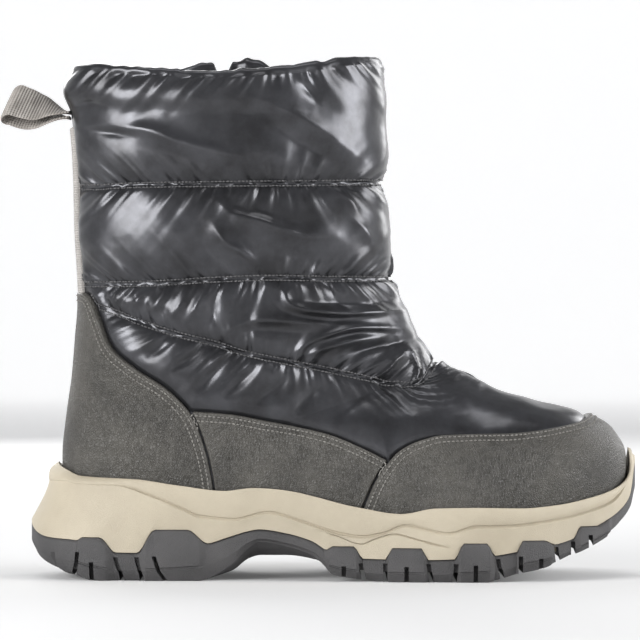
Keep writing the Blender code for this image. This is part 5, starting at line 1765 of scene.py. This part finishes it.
# %% [markdown]
# ## Webbing loop and zip
# The pull loop is one strip of ribbed webbing that leaves the back, turns a little and comes back. It is
# swept here as a rounded flat section along its path, and its weave follows a UV map along the strip. The
# zip's teeth are placed by the same nodes that sew, flattened across the chain.

# %% Path of the pull loop
Bend = namedtuple("Bend", "reach rise open turn")
BENDS = [
    Bend(0.00, 0.00, 0.040, 0), Bend(0.12, 0.01, 0.042, 6), Bend(0.27, 0.03, 0.060, 18),
    Bend(0.50, 0.05, 0.090, 40), Bend(0.72, 0.11, 0.120, 48), Bend(0.88, 0.17, 0.120, 50),
]
LOOP_LENGTH = 0.029
LOOP_WIDTH = 0.020
WEBBING = 0.0014
LOOP_ROOT_RISE = 0.885

PATH_STEPS = 26
SIDE_TURN = 0.35
LOOP_TILT = 0.15
UP_TURN = 0.94


def bend(name, reach):
    """A column of the loop's table at a share of its reach."""
    return float(smooth(column(BENDS, "reach"), column(BENDS, name), reach))


def loop_path():
    """Middle of the webbing and its sideways direction, out along the top and back along the bottom."""
    root_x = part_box("pull_loop")[1][0]
    low = float(bed_height(0))
    root_z = low + LOOP_ROOT_RISE * (BOOT_HEIGHT - low)
    last = BENDS[-1].reach
    path = [(reach, LOOP_LENGTH * bend("open", reach)) for reach in np.linspace(0, last, PATH_STEPS)]
    radius = LOOP_LENGTH * BENDS[-1].open
    path += [(last + radius * math.cos(t) / LOOP_LENGTH, radius * math.sin(t))
             for t in np.radians(np.arange(80, -81, -10))]
    path += [(reach, -LOOP_LENGTH * bend("open", reach)) for reach in np.linspace(last, 0, PATH_STEPS)]
    spots = []
    for reach, height in path:
        turn = math.radians(bend("turn", reach))
        point = Vector((root_x - reach * LOOP_LENGTH, 0, root_z + bend("rise", reach) * LOOP_LENGTH))
        wide = Vector((SIDE_TURN * math.sin(turn), math.cos(turn), UP_TURN * math.sin(turn)))
        up = wide.cross(Vector((-1, 0, LOOP_TILT))).normalized()
        spots.append((point + (up if up.z > 0 else -up) * height, wide.normalized()))
    return spots


print("loop path", len(loop_path()), "places")

# %% Pull loop
def pull_loop():
    """The loop of webbing, swept with a rounded flat section."""
    spots = loop_path()
    turns = np.linspace(0, 2 * math.pi, 24, endpoint=False)
    wide_part = np.sign(np.cos(turns)) * np.abs(np.cos(turns)) ** 0.4 * LOOP_WIDTH / 2
    thick_part = np.sign(np.sin(turns)) * np.abs(np.sin(turns)) ** 0.7 * WEBBING / 2
    rings, runs = [], [0.0]
    for i, (spot, wide) in enumerate(spots):
        ahead = spots[min(i + 1, len(spots) - 1)][0] - spots[max(i - 1, 0)][0]
        across = ahead.cross(wide).normalized()
        rings.append([spot + wide * a + across * b for a, b in zip(wide_part, thick_part)])
        if i:
            runs.append(runs[-1] + (spot - spots[i - 1][0]).length)
    count = len(turns)
    faces, places = [], []
    for i in range(len(rings) - 1):
        for j in range(count):
            k = (j + 1) % count
            faces.append((i * count + j, i * count + k, (i + 1) * count + k, (i + 1) * count + j))
            places += [(runs[i], wide_part[j]), (runs[i], wide_part[k]),
                       (runs[i + 1], wide_part[k]), (runs[i + 1], wide_part[j])]
    for end in (0, len(rings) - 1):
        faces.append([end * count + j for j in range(count)])
        places += [(runs[end], part) for part in wide_part]
    return make_piece("loop", [point for ring in rings for point in ring], faces, "loop", spots=places)


loop = pull_loop()
dress(loop, "webbing", "pull_loop")

# %% Zip teeth, slider and tab
TOOTH_ROW = 1.0
TOOTH_LIFT = 0.5
CHAIN_END = 3


def zip_teeth():
    """Two rows of teeth on the tape."""
    parts = []
    for side in (-1, 1):
        field = np.where(INNER, TRUE_X - ZIP_X - side * TOOTH_ROW * MM, FAR)
        allowed = INNER & (TRUE_Z > ZIP_FOOT + CHAIN_END * MM) & (TRUE_Z < ZIP_TOP - CHAIN_END * MM)
        parts.append(stitch_lines(field, 0.0, SKIN, allowed, GAP + TAPE + TOOTH_LIFT * MM))
    return grow("teeth", *joined(parts), sewing_tree(FINISHES["coil"]),
                {"Pitch": 0.0014, "Long": 0.00045, "Thick": 0.0012})


teeth = zip_teeth()
dress(teeth, "coil", "zip_chain")
for name in ("zip_slider", "zip_pull_tab"):
    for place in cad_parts[name].material_slots:
        place.material = FINISHES["metal"]
print("zip dressed")
